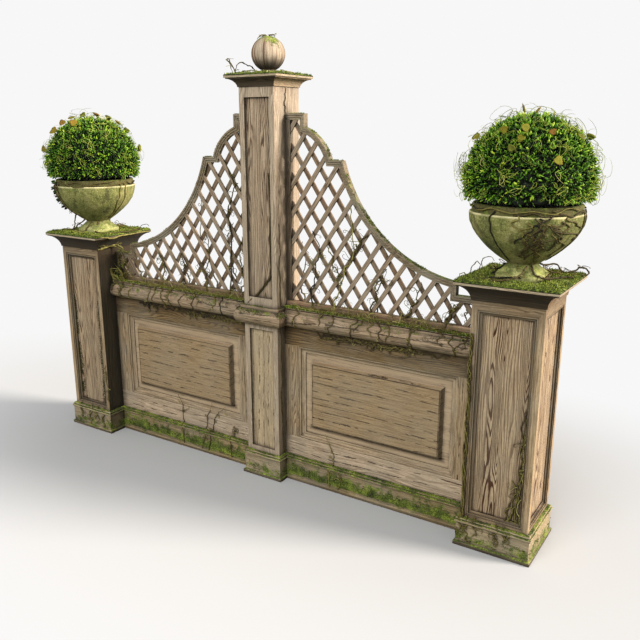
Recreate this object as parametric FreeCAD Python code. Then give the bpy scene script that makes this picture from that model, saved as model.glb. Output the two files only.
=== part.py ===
import FreeCAD, Part
import os
from math import asin, atan2, ceil, cos, degrees, hypot, pi, sin, sqrt

# Free-standing garden screen: two panelled bays with a shaped trellis between a tall centre post and two
# end pedestals that carry planted urns. Millimetres. X runs along the screen, Y through it, Z is up.
# The origin is on the ground under the centre post. Front and back, left and right are alike.

# Plan
post_spacing = 1250.0        # centre post to each end pedestal, axis to axis
pedestal_w = 296.0           # square end pedestal
centre_w = 200.0             # square centre post
wall_t = 80.0                # dado frame, through the wall

# Skirting round every foot
skirt_out = 21.0             # foot fillet, from the face behind
skirt_h = 14.0
skirt_slope = 6.0            # weathered top of the foot fillet
plinth_out = 13.0            # face of the skirting board
plinth_h = 108.0             # up to the beads
lower_bead_r = 6.5
upper_bead_r = 5.5
bead_set_back = 4.0          # upper bead behind the lower one
bead_fall = 2.0              # slope above the upper bead
bead_flats = 6               # flats that round a bead

# Dado wall
dado_h = 897.0
bottom_rail_h = 238.0
top_rail_h = 175.0
dado_stile_w = 84.0
dado_panel_t = 36.0          # board at the ground of the panel
moulding_w = 30.0
moulding_back = 3.0          # lip of the moulding behind the frame's face
moulding_lip = 9.0
moulding_cove = 10.0
moulding_foot = 4.0          # thickness of the moulding at its inner edge
field_margin = 48.0          # moulding to the raised field's face
field_bevel = 12.0           # run of the field's sloping edge

# Half-round rail and the ledge on the dado
rail_r = 40.0
ledge_t = 14.0
ledge_nose = 14.0            # fillet above the half-round

# Trellis frame
sill_h = 30.0
sill_chamfer = 4.0
trellis_stile_w = 26.0
frame_w = 28.0               # moulded head, across its face
frame_t = 32.0               # moulded head, through the trellis
lip_w = 8.0
tier_w = 8.0
tier_slope = 2.0
tier_step = 3.5              # each tier behind the one outside it
trellis_h = 915.0            # crest above the ledge
crest_w = 106.0              # from the centre post to the crest's outer edge
crest_drop = 60.0
shoulder_reach = 138.0
shoulder_fall = 145.0
shoulder_bulge = 23.0        # rise of the convex arc over its chord
step_w = 66.0
sweep_sag = 113.0            # fall of the concave arc under its chord
notch_w = 123.0              # from the end pedestal to the sweep's end
notch_h = 162.0              # top of the end bar above the ledge
end_drop = 56.0

# Laths
lath_w = 20.0
lath_t = 8.0
diamond_w = 91.0
diamond_h = 133.0
lath_start_x = 91.0          # first crossing, from the centre post
lath_start_z = 112.0         # first crossing, above the sill
shortest_lath = 25.0         # anything shorter is left out of the corners

# End pedestals
cap_clearance = 26.0         # trellis end to the cap's cove
corner_post = 26.0           # square corner posts of the boxed shaft
panel_depth = 16.0           # panel behind the face
pedestal_top_rail = 40.0
pedestal_bottom_rail = 14.0  # above the skirting
bead_frame_w = 17.0
bead_frame_back = 3.0
bead_frame_lip = 6.0
bead_frame_step = 6.0
pedestal_cap_out = 61.0
pedestal_cap_h = 81.0

# Centre post
centre_rise = 118.0          # crest to the cap's cove
centre_wall = 28.0
centre_panel_depth = 12.0
centre_panel_t = 16.0
centre_top_rail = 46.0
centre_mid_rail = 44.0       # above the ledge
centre_low_rail = 24.0       # under the half-round and above the skirting
centre_cap_out = 49.0
centre_cap_h = 55.0

# Caps
slab_t = 15.0
slab_nose = 5.0              # rounding of the slab's edge
slab_over = 6.0              # slab beyond the cove
cove_fillet = 5.0
cove_hollow = 0.14           # depth of a hollow moulding, as a share of its chord
saw_spare = 5.0              # mitre cuts run this far past a moulding

# Urns and what grows in them
foot_w = 166.0
foot_block_h = 14.0
foot_corner_cut = 6.0        # taken off the corners of the block
foot_h = 62.0
flare_step = 7.0             # block to the flare's lower edge
flare_power = 1.7            # above 1 the flare is hollow
flare_bands = 3
neck_r = 62.0
bowl_r = 222.0
bowl_drop = 201.0            # rim to neck
bowl_power = 2.0             # fullness of the bowl's side
bowl_bands = 6
bowl_wall = 22.0
well_depth = 90.0            # planting well, from the collar's top
rim_h = 4.0
collar_inset = 9.0           # collar behind the rim
collar_h = 33.0
soil_below_collar = 14.0
stem_r = 14.0
urn_sides = 32
leaf_sides = 20
topiary_r = 266.0
topiary_rise = 82.0          # centre of the ball above its flat underside
topiary_bands = 7
fit_gap = 0.3                # between round faces that seat in each other

# Finial
ball_r = 78.0
ball_neck_r = 34.0
ball_foot_r = 42.0
ball_neck_h = 14.0
ball_sides = 24
ball_bands = 10
dowel_w = 20.0               # square peg that holds the ball
dowel_up = 55.0
dowel_down = 28.0

# Levels and places that follow from the sizes above
V = FreeCAD.Vector
LEFT, RIGHT = -1, 1
closed_within = 1e-6         # an outline this near its start is closed
half_wall = wall_t / 2
half_centre = centre_w / 2
half_pedestal = pedestal_w / 2
bay_start = half_centre
bay_end = post_spacing - half_pedestal
skirting_top = plinth_h + 2 * lower_bead_r + 2 * upper_bead_r + bead_fall
ledge_top = dado_h + ledge_t
sill_top = ledge_top + sill_h
rail_centre = dado_h - rail_r
trellis_top = ledge_top + trellis_h
notch_z = ledge_top + notch_h
pedestal_h = notch_z + cap_clearance
centre_h = trellis_top + centre_rise
pedestal_top = pedestal_h + pedestal_cap_h
centre_top = centre_h + centre_cap_h


def box(x0, x1, y0, y1, z0, z1):
    """A block between two corners."""
    return Part.makeBox(x1 - x0, y1 - y0, z1 - z0, V(x0, y0, z0))


def save(name, solids):
    """Write one node: a solid, or a group of separate solids."""
    shape = solids[0] if len(solids) == 1 else Part.makeCompound(solids)
    shape.exportStep("parts/" + name + ".step")


def mirrored(solids, side):
    """The right-hand solids, or their mirror image for the left."""
    if side == RIGHT:
        return solids
    return [s.mirror(V(0, 0, 0), V(1, 0, 0)) for s in solids]


def both_faces(solids):
    """Solids on the front face together with their mirror image on the back."""
    return solids + [s.mirror(V(0, 0, 0), V(0, 1, 0)) for s in solids]


def outline(path, place):
    """A closed wire through path. An entry is a corner, or (through, corner) for an arc to that corner."""
    edges = []
    last = place(*path[0])
    for entry in path[1:] + path[:1]:
        if isinstance(entry[0], tuple):
            corner = place(*entry[1])
            edges.append(Part.Arc(last, place(*entry[0]), corner).toShape())
        else:
            corner = place(*entry)
            if not corner.isEqual(last, closed_within):
                edges.append(Part.LineSegment(last, corner).toShape())
        last = corner
    return Part.Wire(edges)


def points(path):
    """Every point that an outline goes through, arcs' middles too."""
    found = []
    for entry in path:
        found += entry if isinstance(entry[0], tuple) else [entry]
    return found


def ring(reach, z, sides):
    """Corners round the axis at height z. reach gives the distance from the axis at each angle."""
    turns = [2 * pi * k / sides for k in range(sides)]
    return [V(reach(a) * cos(a), reach(a) * sin(a), z) for a in turns]


def round_rings(profile, sides):
    """One ring for each (radius, height) of a turned profile."""
    return [ring(lambda a: r, z, sides) for r, z in profile]


def faceted(rings):
    """A solid of flat facets through rings of equally many corners, closed by its first and last ring."""
    faces = [Part.Face(Part.makePolygon(r + r[:1])) for r in (rings[0], rings[-1])]
    for low, high in zip(rings, rings[1:]):
        for k in range(len(low)):
            for corners in ([low[k - 1], low[k], high[k]], [low[k - 1], high[k], high[k - 1]]):
                faces.append(Part.Face(Part.makePolygon(corners + corners[:1])))
    return Part.makeSolid(Part.Shell(faces)).removeSplitter()


def bead(out, low, radius):
    """Half-round bead on a face, in (out, up), from its foot to its top."""
    turns = [pi * k / bead_flats - pi / 2 for k in range(bead_flats + 1)]
    return [(out + radius * cos(a), low + radius * (1 + sin(a))) for a in turns]


def hollow(a, b):
    """The middle of a hollow arc from a to b, left of the chord."""
    dx = b[0] - a[0]
    dz = b[1] - a[1]
    return ((a[0] + b[0]) / 2 - cove_hollow * dz, (a[1] + b[1]) / 2 + cove_hollow * dx)


def moulding(section, start, end, outward, mitre_start, mitre_end):
    """A length of moulding along a face, from start to end in plan.

    section is an outline in (out, up). A mitre of 1 goes round an outer corner, -1 into an inner corner,
    0 is a square cut.
    """
    begin = V(start[0], start[1], 0)
    finish = V(end[0], end[1], 0)
    along = finish - begin
    run = along.Length
    along.normalize()
    out = V(outward[0], outward[1], 0)
    reach = max(p[0] for p in points(section)) + saw_spare
    low = min(p[1] for p in points(section)) - saw_spare
    high = max(p[1] for p in points(section)) + saw_spare
    tail = begin - along * reach
    wire = outline(section, lambda o, u: tail + out * o + V(0, 0, u))
    bar = Part.Face(wire).extrude(along * (run + 2 * reach))
    plan = [
        begin,
        finish,
        finish + (out + along * mitre_end) * reach,
        begin + (out - along * mitre_start) * reach,
    ]
    plan = [p + V(0, 0, low) for p in plan]
    prism = Part.Face(Part.makePolygon(plan + plan[:1])).extrude(V(0, 0, high - low))
    return bar.common(prism).Solids[0]


def picture_frame(section, width, height, centre, face_y):
    """Four mitred lengths of a moulding inside a rectangular opening on the front face.

    section is an outline in (in from the opening's edge, depth behind the face).
    """
    solids = []
    for turn, run, away in ((0, width, height), (1, height, width), (2, width, height), (3, height, width)):
        side = away / 2
        wire = outline(section, lambda t, d: V(-run, d, side - t))
        bar = Part.Face(wire).extrude(V(2 * run, 0, 0))
        depth = max(p[1] for p in points(section))
        width_in = max(p[0] for p in points(section)) + saw_spare
        far = side - width_in
        plan = [V(-run / 2, 0, side), V(run / 2, 0, side)]
        plan += [V(run / 2 - width_in, 0, far), V(width_in - run / 2, 0, far)]
        prism = Part.Face(Part.makePolygon(plan + plan[:1])).extrude(V(0, depth, 0))
        length = bar.common(prism).Solids[0]
        length.rotate(V(0, 0, 0), V(0, 1, 0), 90 * turn)
        length.translate(V(centre[0], face_y, centre[1]))
        solids.append(length)
    return solids


# Sections of the mouldings

def skirting_section():
    """Foot fillet, flat board and two beads, in (out, up)."""
    board = [(0, 0), (skirt_out, 0), (skirt_out, skirt_h), (plinth_out, skirt_h + skirt_slope)]
    lower = bead(plinth_out, plinth_h, lower_bead_r)
    upper = bead(plinth_out - bead_set_back, plinth_h + 2 * lower_bead_r, upper_bead_r)
    return board + lower + upper + [(0, skirting_top)]


def rail_section():
    """Half-round rail under a square fillet, in (out, up)."""
    meets = rail_centre + sqrt(rail_r ** 2 - ledge_nose ** 2)
    return [
        (0, rail_centre - rail_r),
        ((rail_r, rail_centre), (ledge_nose, meets)),
        (ledge_nose, ledge_top),
        (0, ledge_top),
    ]


def cove_section(base, out, height):
    """Cap mould in (out, up): a small fillet, a hollow cove and a top fillet under the slab."""
    top = base + height - slab_t
    reach = out - slab_over
    low = (cove_fillet, base + cove_fillet)
    high = (reach - cove_fillet, top - cove_fillet)
    return [
        (0, base),
        (cove_fillet, base),
        low,
        (hollow(low, high), high),
        (reach, top - cove_fillet),
        (reach, top),
        (0, top),
    ]


def dado_moulding_section():
    """Stepped moulding round the dado panel, in (in, depth)."""
    ground = (wall_t - dado_panel_t) / 2
    foot = ground - moulding_foot
    cove_start = (moulding_lip, (moulding_back + foot) / 2)
    cove_end = (moulding_lip + moulding_cove, foot)
    return [
        (0, moulding_back),
        (moulding_lip, moulding_back),
        cove_start,
        (hollow(cove_start, cove_end), cove_end),
        (moulding_w, foot),
        (moulding_w, ground),
        (0, ground),
    ]


def bead_frame_section():
    """Stepped bead round a pedestal panel, in (in, depth)."""
    middle = (bead_frame_back + panel_depth) / 2
    return [
        (0, bead_frame_back),
        (bead_frame_lip, bead_frame_back),
        (bead_frame_lip, middle),
        (bead_frame_lip + bead_frame_step, middle),
        (bead_frame_w, (middle + panel_depth) / 2),
        (bead_frame_w, panel_depth),
        (0, panel_depth),
    ]


def head_section():
    """Three-tier section of the trellis head, in (in from the outer edge, through)."""
    front = [
        (0, frame_t / 2),
        (lip_w, frame_t / 2),
        (lip_w + tier_slope, frame_t / 2 - tier_step),
        (lip_w + tier_slope + tier_w, frame_t / 2 - tier_step),
        (lip_w + 2 * tier_slope + tier_w, frame_t / 2 - 2 * tier_step),
        (frame_w, frame_t / 2 - 2 * tier_step),
    ]
    return front + [(t, -y) for t, y in reversed(front)]


# Posts and caps

def square_ring(section, half, centre_x):
    """A moulding mitred round all four sides of a square post."""
    solids = []
    for turn in range(4):
        bar = moulding(section, (-half, -half), (half, -half), (0, -1), 1, 1)
        bar.rotate(V(0, 0, 0), V(0, 0, 1), 90 * turn)
        bar.translate(V(centre_x, 0, 0))
        solids.append(bar)
    return solids


def cap_slab(half, centre_x, top):
    """Square top board with a rounded edge."""
    slab = box(centre_x - half, centre_x + half, -half, half, top - slab_t, top)
    level = [e for e in slab.Edges if abs(e.Vertexes[0].Z - e.Vertexes[1].Z) < slab_t / 2]
    upper = [e for e in level if e.CenterOfMass.z > top - slab_t / 2]
    return slab.makeFillet(slab_nose, upper)


def pedestal(side):
    """End pedestal: boxed shaft, recessed panels, beads, skirting and cap."""
    name = "right" if side == RIGHT else "left"
    h = half_pedestal
    inner = h - corner_post
    shaft_top = pedestal_top - slab_t
    window_low = skirting_top + pedestal_bottom_rail
    window_high = pedestal_h - pedestal_top_rail
    middle = (window_low + window_high) / 2
    shaft = box(-h, h, -h, h, 0, shaft_top)
    shaft = shaft.cut(box(-inner, inner, -inner, inner, -1, shaft_top + 1))
    window = box(-inner, inner, -h - 1, -inner + 1, window_low, window_high)
    board = box(-inner, inner, -h + panel_depth, -inner, window_low, window_high)
    beads = picture_frame(bead_frame_section(), 2 * inner, window_high - window_low, (0, middle), -h)
    boards = []
    frames = []
    for turn in (0, 90, 180):
        for piece in [window, board] + beads:
            piece.rotate(V(0, 0, 0), V(0, 0, 1), 90 if turn else 0)
        shaft = shaft.cut(window)
        boards.append(board.copy())
        frames += [b.copy() for b in beads]
    skirting = skirting_section()
    plinth = [
        moulding(skirting, (-h, -h), (h, -h), (0, -1), 1, 1),
        moulding(skirting, (h, h), (-h, h), (0, 1), 1, 1),
        moulding(skirting, (h, -h), (h, h), (1, 0), 1, 1),
        moulding(skirting, (-h, -half_wall), (-h, -h), (-1, 0), -1, 1),
        moulding(skirting, (-h, h), (-h, half_wall), (-1, 0), 1, -1),
    ]
    nodes = {
        "pedestal_carcass": [shaft],
        "pedestal_panels": boards,
        "pedestal_panel_beads": frames,
        "pedestal_plinth": plinth,
        "pedestal_cap_mould": square_ring(cove_section(pedestal_h, pedestal_cap_out, pedestal_cap_h), h, 0),
        "pedestal_cap_slab": [cap_slab(h + pedestal_cap_out, 0, pedestal_top)],
    }
    for node, solids in nodes.items():
        for s in solids:
            s.translate(V(post_spacing, 0, 0))
        save(name + "_" + node, mirrored(solids, side))


def centre_post():
    """Tall boxed post with recessed panels, skirting, rail, cap, and the ball on its dowel."""
    h = half_centre
    inner = h - centre_wall
    shaft_top = centre_top - slab_t
    post = box(-h, h, -h, h, 0, shaft_top)
    post = post.cut(box(-inner, inner, -inner, inner, -1, shaft_top + 1))
    spans = {
        "centre_upper_panels": (ledge_top + centre_mid_rail, centre_h - centre_top_rail),
        "centre_lower_panels": (skirting_top + centre_low_rail, rail_centre - rail_r - centre_low_rail),
    }
    for node, (low, high) in spans.items():
        post = post.cut(box(-inner, inner, -h - 1, h + 1, low, high))
        face = -h + centre_panel_depth
        save(node, both_faces([box(-inner, inner, face, face + centre_panel_t, low, high)]))
    save("centre_post", [post])

    def wrapped(section):
        front = moulding(section, (-h, -h), (h, -h), (0, -1), 1, 1)
        right = moulding(section, (h, -h), (h, -half_wall), (1, 0), 1, -1)
        left = right.mirror(V(0, 0, 0), V(1, 0, 0))
        return both_faces([front, right, left])

    save("centre_plinth", wrapped(skirting_section()))
    save("centre_rail", wrapped(rail_section()))
    save("centre_cap_mould", square_ring(cove_section(centre_h, centre_cap_out, centre_cap_h), h, 0))
    d = dowel_w / 2
    dowel = box(-d, d, -d, d, centre_top - dowel_down, centre_top + dowel_up)
    save("finial_dowel", [dowel])
    save("centre_cap_slab", [cap_slab(h + centre_cap_out, 0, centre_top).cut(dowel)])
    neck_top = centre_top + 2 * ball_neck_h
    ball_z = centre_top + ball_neck_h + ball_r
    profile = [(ball_foot_r, centre_top), (ball_neck_r, neck_top)]
    profile += ball_profile(ball_r, ball_z, neck_top, ball_bands)
    save("finial_ball", [faceted(round_rings(profile, ball_sides)).cut(dowel).Solids[0]])


def ball_profile(radius, centre_z, low, bands):
    """Radii and heights up a ball of equal bands, from the height low to a small flat on top."""
    first = asin((low - centre_z) / radius)
    step = (pi / 2 - first) / (bands + 0.5)
    turns = [first + step * k for k in range(bands + 1)]
    return [(radius * cos(a), centre_z + radius * sin(a)) for a in turns]


# Dado and rails of one bay

def dado(side):
    """Framed wall: rails, stiles, raised panel, mouldings, skirting, half-round rails and ledge."""
    name = "right" if side == RIGHT else "left"
    low = bottom_rail_h
    high = dado_h - top_rail_h
    x0 = bay_start + dado_stile_w
    x1 = bay_end - dado_stile_w
    t = half_wall
    middle = ((x0 + x1) / 2, (low + high) / 2)
    ground = dado_panel_t / 2
    inset = moulding_w + field_margin

    def field_wire(grow, y):
        a = x0 + inset - grow
        b = x1 - inset + grow
        c = low + inset - grow
        d = high - inset + grow
        return Part.makePolygon([V(a, y, c), V(b, y, c), V(b, y, d), V(a, y, d), V(a, y, c)])

    board = box(x0, x1, -ground, ground, low, high)
    field = Part.makeLoft([field_wire(field_bevel, -ground), field_wire(0, -t)], True, True)
    board = board.fuse(both_faces([field])).removeSplitter()
    frames = picture_frame(dado_moulding_section(), x1 - x0, high - low, middle, -t)
    skirting = moulding(skirting_section(), (bay_start, -t), (bay_end, -t), (0, -1), -1, -1)
    rail = moulding(rail_section(), (bay_start, -t), (bay_end, -t), (0, -1), -1, 0)
    nodes = {
        "dado_top_rail": [box(bay_start, bay_end, -t, t, high, dado_h)],
        "dado_bottom_rail": [box(bay_start, bay_end, -t, t, 0, low)],
        "dado_stiles": [box(bay_start, x0, -t, t, low, high), box(x1, bay_end, -t, t, low, high)],
        "dado_panel": [board.Solids[0]],
        "dado_mouldings": both_faces(frames),
        "bay_plinth": both_faces([skirting]),
        "bay_rail": both_faces([rail]),
        "dado_ledge": [box(bay_start, bay_end, -t, t, dado_h, ledge_top)],
    }
    for node, solids in nodes.items():
        save(name + "_" + node, mirrored(solids, side))


# Trellis of one bay, drawn in (x, z)

def arc_circle(a, b, rise):
    """Centre and radius of the arc from a to b that stands rise above the chord, to the left of a to b."""
    chord = hypot(b[0] - a[0], b[1] - a[1])
    radius = (chord ** 2 / 4 + rise ** 2) / (2 * rise)
    back = (radius - rise) / chord
    centre = (
        (a[0] + b[0]) / 2 + (b[1] - a[1]) * back,
        (a[1] + b[1]) / 2 - (b[0] - a[0]) * back,
    )
    return centre, radius


def on_circle(centre, radius, angle):
    """The point of a circle at an angle from +X."""
    return (centre[0] + radius * cos(angle), centre[1] + radius * sin(angle))


def middle_angle(centre, a, b):
    """The angle halfway between two points of an arc of under a half circle."""
    first = atan2(a[1] - centre[1], a[0] - centre[0])
    turn = atan2(b[1] - centre[1], b[0] - centre[0]) - first
    turn = (turn + pi) % (2 * pi) - pi
    return first + turn / 2


P0 = (bay_start, trellis_top)
P1 = (bay_start + crest_w, trellis_top)
P2 = (P1[0], trellis_top - crest_drop)
P3 = (P2[0] + shoulder_reach, P2[1] - shoulder_fall)
P4 = (P3[0] + step_w, P3[1])
P5 = (bay_end - notch_w, notch_z + end_drop)
P6 = (P5[0], notch_z)
P7 = (bay_end, notch_z)
shoulder_centre, shoulder_r = arc_circle(P2, P3, shoulder_bulge)
sweep_centre, sweep_r = arc_circle(P5, P4, sweep_sag)
inner_shoulder_r = shoulder_r - frame_w
inner_sweep_r = sweep_r + frame_w


def above(centre, radius, x):
    """Height of a circle's upper half at x."""
    return centre[1] + sqrt(radius ** 2 - (x - centre[0]) ** 2)


def below(centre, radius, x):
    """Height of a circle's lower half at x."""
    return centre[1] - sqrt(radius ** 2 - (x - centre[0]) ** 2)


def right_of(centre, radius, z):
    """Place of a circle's right half at height z."""
    return centre[0] + sqrt(radius ** 2 - (z - centre[1]) ** 2)


def left_of(centre, radius, z):
    """Place of a circle's left half at height z."""
    return centre[0] - sqrt(radius ** 2 - (z - centre[1]) ** 2)


# Inner corners of the head, each on the mitre of the outer corner with the same number
Q0 = (bay_start, trellis_top - frame_w)
Q1 = (P1[0] - frame_w, Q0[1])
Q2 = (Q1[0], above(shoulder_centre, inner_shoulder_r, Q1[0]))
Q3 = (right_of(shoulder_centre, inner_shoulder_r, P3[1] - frame_w), P3[1] - frame_w)
Q4 = (left_of(sweep_centre, inner_sweep_r, Q3[1]), Q3[1])
Q5 = (P5[0] - frame_w, below(sweep_centre, inner_sweep_r, P5[0] - frame_w))
Q6 = (Q5[0], notch_z - frame_w)
Q7 = (bay_end, Q6[1])


def trimmed(piece, outer, inner, keep):
    """Cut a head piece on the mitre through an outer and an inner corner, keeping the side of keep."""
    far = 3 * trellis_top
    across = V(inner[0] - outer[0], 0, inner[1] - outer[1])
    across.normalize()
    normal = V(-across.z, 0, across.x)
    corner = V(outer[0], -frame_t, outer[1])
    if normal.dot(V(keep[0] - outer[0], 0, keep[1] - outer[1])) > 0:
        normal = normal * -1
    a = corner + across * far
    b = corner - across * far
    wire = Part.makePolygon([a, b, b + normal * far, a + normal * far, a])
    return piece.cut(Part.Face(wire).extrude(V(0, 2 * frame_t, 0)))


def straight_member(a, b, inward):
    """A straight length of the head from a to b, longer than needed at both ends."""
    along = V(b[0] - a[0], 0, b[1] - a[1])
    spare = along.normalize() * (2 * frame_w)
    start = V(a[0], 0, a[1]) - spare
    wire = outline(head_section(), lambda t, y: start + V(inward[0] * t, y, inward[1] * t))
    run = hypot(b[0] - a[0], b[1] - a[1]) + 4 * frame_w
    return Part.Face(wire).extrude(along * run)


def curved_member(centre, radius, a, b, inward):
    """An arched length of the head, turned about the arc's own axis, longer than needed at both ends."""
    spare = 2 * frame_w / radius
    first = atan2(a[1] - centre[1], a[0] - centre[0])
    turn = 2 * (middle_angle(centre, a, b) - first)
    start = first - spare * (1 if turn > 0 else -1)
    sweep = abs(turn) + 2 * spare

    def place(t, y):
        point = on_circle(centre, radius + inward * t, start)
        return V(point[0], y, point[1])

    axis = V(0, -1, 0) if turn > 0 else V(0, 1, 0)
    face = Part.Face(outline(head_section(), place))
    return face.revolve(V(centre[0], 0, centre[1]), axis, degrees(sweep))


def between(a, b):
    """The point halfway from a to b."""
    return ((a[0] + b[0]) / 2, (a[1] + b[1]) / 2)


def head_member(piece, start, end, keep):
    """A member of the head, mitred at both ends. start and end are pairs of outer and inner corners."""
    piece = trimmed(piece, start[0], start[1], keep)
    return trimmed(piece, end[0], end[1], keep).Solids[0]


def trellis_opening(y0, y1):
    """The space inside the trellis frame, from y0 to y1."""
    left = bay_start + trellis_stile_w
    right = bay_end - trellis_stile_w
    bulge = on_circle(shoulder_centre, inner_shoulder_r, middle_angle(shoulder_centre, Q2, Q3))
    sag = on_circle(sweep_centre, inner_sweep_r, middle_angle(sweep_centre, Q4, Q5))
    path = [
        (left, sill_top),
        (left, Q0[1]),
        Q1,
        Q2,
        (bulge, Q3),
        Q4,
        (sag, Q5),
        Q6,
        (right, Q6[1]),
        (right, sill_top),
    ]
    return Part.Face(outline(path, lambda x, z: V(x, y0, z))).extrude(V(0, y1 - y0, 0))


def laths(direction, y0):
    """One layer of parallel laths, cut to the opening. direction is 1 for laths that rise to the right."""
    opening = trellis_opening(y0, y0 + lath_t)
    slope = diamond_h / diamond_w
    long_way = 2 * trellis_top
    tilt = degrees(atan2(slope, 1)) * direction
    count = ceil((trellis_top - sill_top + slope * (bay_end - bay_start)) / diamond_h) + 1
    solids = []
    for k in range(-count, count + 1):
        strip = box(-long_way, long_way, y0, y0 + lath_t, -lath_w / 2, lath_w / 2)
        strip.rotate(V(0, 0, 0), V(0, 1, 0), -tilt)
        strip.translate(V(bay_start + lath_start_x, 0, sill_top + lath_start_z + k * diamond_h))
        solids += strip.common(opening).Solids
    return [s for s in solids if s.Volume > shortest_lath * lath_w * lath_t]


def trellis(side):
    """Moulded frame with a crest, convex shoulder, step and concave sweep, round two layers of laths."""
    name = "right" if side == RIGHT else "left"
    down = (0, -1)
    inward = (-1, 0)
    crest = [
        head_member(straight_member(P0, P1, down), (P0, Q0), (P1, Q1), between(P0, Q1)),
        head_member(straight_member(P1, P2, inward), (P1, Q1), (P2, Q2), between(P1, Q2)),
    ]
    arch = curved_member(shoulder_centre, shoulder_r, P2, P3, -1)
    shoulder = [
        head_member(arch, (P2, Q2), (P3, Q3), between(P2, P3)),
        head_member(straight_member(P3, P4, down), (P3, Q3), (P4, Q4), between(P3, Q4)),
    ]
    swept = curved_member(sweep_centre, sweep_r, P4, P5, 1)
    sweep = [head_member(swept, (P4, Q4), (P5, Q5), between(P4, P5))]
    end = [
        head_member(straight_member(P5, P6, inward), (P5, Q5), (P6, Q6), between(P5, Q6)),
        head_member(straight_member(P6, P7, down), (P6, Q6), (P7, Q7), between(P6, Q7)),
    ]
    t = frame_t / 2
    sill = box(bay_start, bay_end, -t, t, ledge_top, sill_top)
    arrises = [e for e in sill.Edges if e.CenterOfMass.z > sill_top - 1 and e.Length > frame_t + 1]
    stile_t = t - tier_step
    stiles = [
        box(bay_start, bay_start + trellis_stile_w, -stile_t, stile_t, sill_top, Q0[1]),
        box(bay_end - trellis_stile_w, bay_end, -stile_t, stile_t, sill_top, Q7[1]),
    ]
    nodes = {
        "trellis_sill": [sill.makeChamfer(sill_chamfer, arrises)],
        "trellis_stiles": stiles,
        "trellis_crest": crest,
        "trellis_shoulder": shoulder,
        "trellis_sweep": sweep,
        "trellis_end": end,
        "front_laths": laths(1, -lath_t),
        "back_laths": laths(-1, 0),
    }
    for node, solids in nodes.items():
        save(name + "_" + node, mirrored(solids, side))


# Urns and planting

def square_reach(half, cut):
    """Distance from the axis to a square with its corners cut off, at an angle."""
    longest = half * sqrt(2) - cut
    return lambda a: min(half / max(abs(cos(a)), abs(sin(a))), longest)


def urn_and_planting(side):
    """Stone urn on a square flared foot, filled with soil, with a clipped ball growing from it."""
    name = "right" if side == RIGHT else "left"
    flare_z = pedestal_top + foot_block_h
    neck_z = pedestal_top + foot_h
    bowl_z = neck_z + bowl_drop
    rim_top = bowl_z + rim_h
    collar_r = bowl_r - collar_inset
    collar_top = rim_top + collar_h
    lip_r = collar_r - bowl_wall
    well_z = collar_top - well_depth
    soil_top = collar_top - soil_below_collar
    block = square_reach(foot_w / 2, foot_corner_cut)
    square = square_reach(foot_w / 2 - flare_step, foot_corner_cut)

    def flare(share):
        """The flare's ring, from the square at its foot to the round neck."""
        keep = (1 - share) ** flare_power
        z = flare_z + share * (neck_z - flare_z)
        return ring(lambda a: neck_r + (square(a) - neck_r) * keep, z, urn_sides)

    foot = [ring(block, pedestal_top, urn_sides), ring(block, flare_z, urn_sides)]
    foot += [flare(k / flare_bands) for k in range(flare_bands)]
    falls = [1 - k / bowl_bands for k in range(bowl_bands + 1)]
    bowl = [(bowl_r - (bowl_r - neck_r) * f ** bowl_power, bowl_z - bowl_drop * f) for f in falls]
    bowl += [(bowl_r, rim_top), (collar_r, rim_top), (collar_r, collar_top)]
    bowl += [(lip_r, collar_top), (lip_r, well_z)]
    urn = faceted(foot + round_rings(bowl, urn_sides))
    soil_r = lip_r - fit_gap
    soil = faceted(round_rings([(soil_r, well_z), (soil_r, soil_top)], urn_sides))
    leaves = [(stem_r, soil_top), (stem_r, collar_top)]
    leaves += ball_profile(topiary_r, collar_top + topiary_rise, collar_top, topiary_bands)
    ball = faceted(round_rings(leaves, leaf_sides))
    nodes = {
        "urn": [urn],
        "urn_soil": [soil],
        "topiary": [ball],
    }
    for node, solids in nodes.items():
        for s in solids:
            s.translate(V(post_spacing, 0, 0))
        save(name + "_" + node, mirrored(solids, side))


os.makedirs("parts", exist_ok=True)
centre_post()
for hand in (LEFT, RIGHT):
    pedestal(hand)
    dado(hand)
    trellis(hand)
    urn_and_planting(hand)
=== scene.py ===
from math import atan2, pi, radians
import bpy
import numpy as np
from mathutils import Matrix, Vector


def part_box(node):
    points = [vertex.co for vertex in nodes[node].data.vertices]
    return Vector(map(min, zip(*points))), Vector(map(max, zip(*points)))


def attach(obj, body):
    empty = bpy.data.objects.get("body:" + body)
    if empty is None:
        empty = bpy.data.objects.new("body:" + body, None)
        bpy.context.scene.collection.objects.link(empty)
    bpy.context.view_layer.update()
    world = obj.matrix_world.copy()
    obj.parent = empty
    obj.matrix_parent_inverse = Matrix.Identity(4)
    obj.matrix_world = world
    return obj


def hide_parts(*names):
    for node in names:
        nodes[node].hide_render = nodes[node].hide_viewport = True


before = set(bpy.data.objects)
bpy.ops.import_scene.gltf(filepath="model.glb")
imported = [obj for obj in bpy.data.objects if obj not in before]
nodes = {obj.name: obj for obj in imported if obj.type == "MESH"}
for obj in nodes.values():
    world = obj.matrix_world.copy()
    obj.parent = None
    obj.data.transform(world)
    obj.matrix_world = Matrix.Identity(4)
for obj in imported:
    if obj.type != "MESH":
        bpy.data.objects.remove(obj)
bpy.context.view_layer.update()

# A weathered timber garden screen with mossy stone urns, clipped box balls and bare creepers.
# Places are in millimetres, as in the solids, and become metres when a mesh or a material is made.
MM, METRE = 0.001, 1000.0
SIDES = {"left": -1, "right": 1}
pedestal_x = 1250.0
cap_half, cap_top = 209.0, 1180.0
centre_cap_half, centre_cap_top = 149.0, 1999.0
bay_from, bay_to = 100.0, 1102.0
ledge_z, ledge_nose = 911.0, 54.0
sill_face = 16.0
bowl_r, neck_r = 222.0, 62.0
neck_z, bowl_z, rim_z, collar_z = 1242.0, 1443.0, 1447.0, 1480.0
ball_z, ball_r = 1562.0, 262.0
finial_r = 78.0
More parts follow.
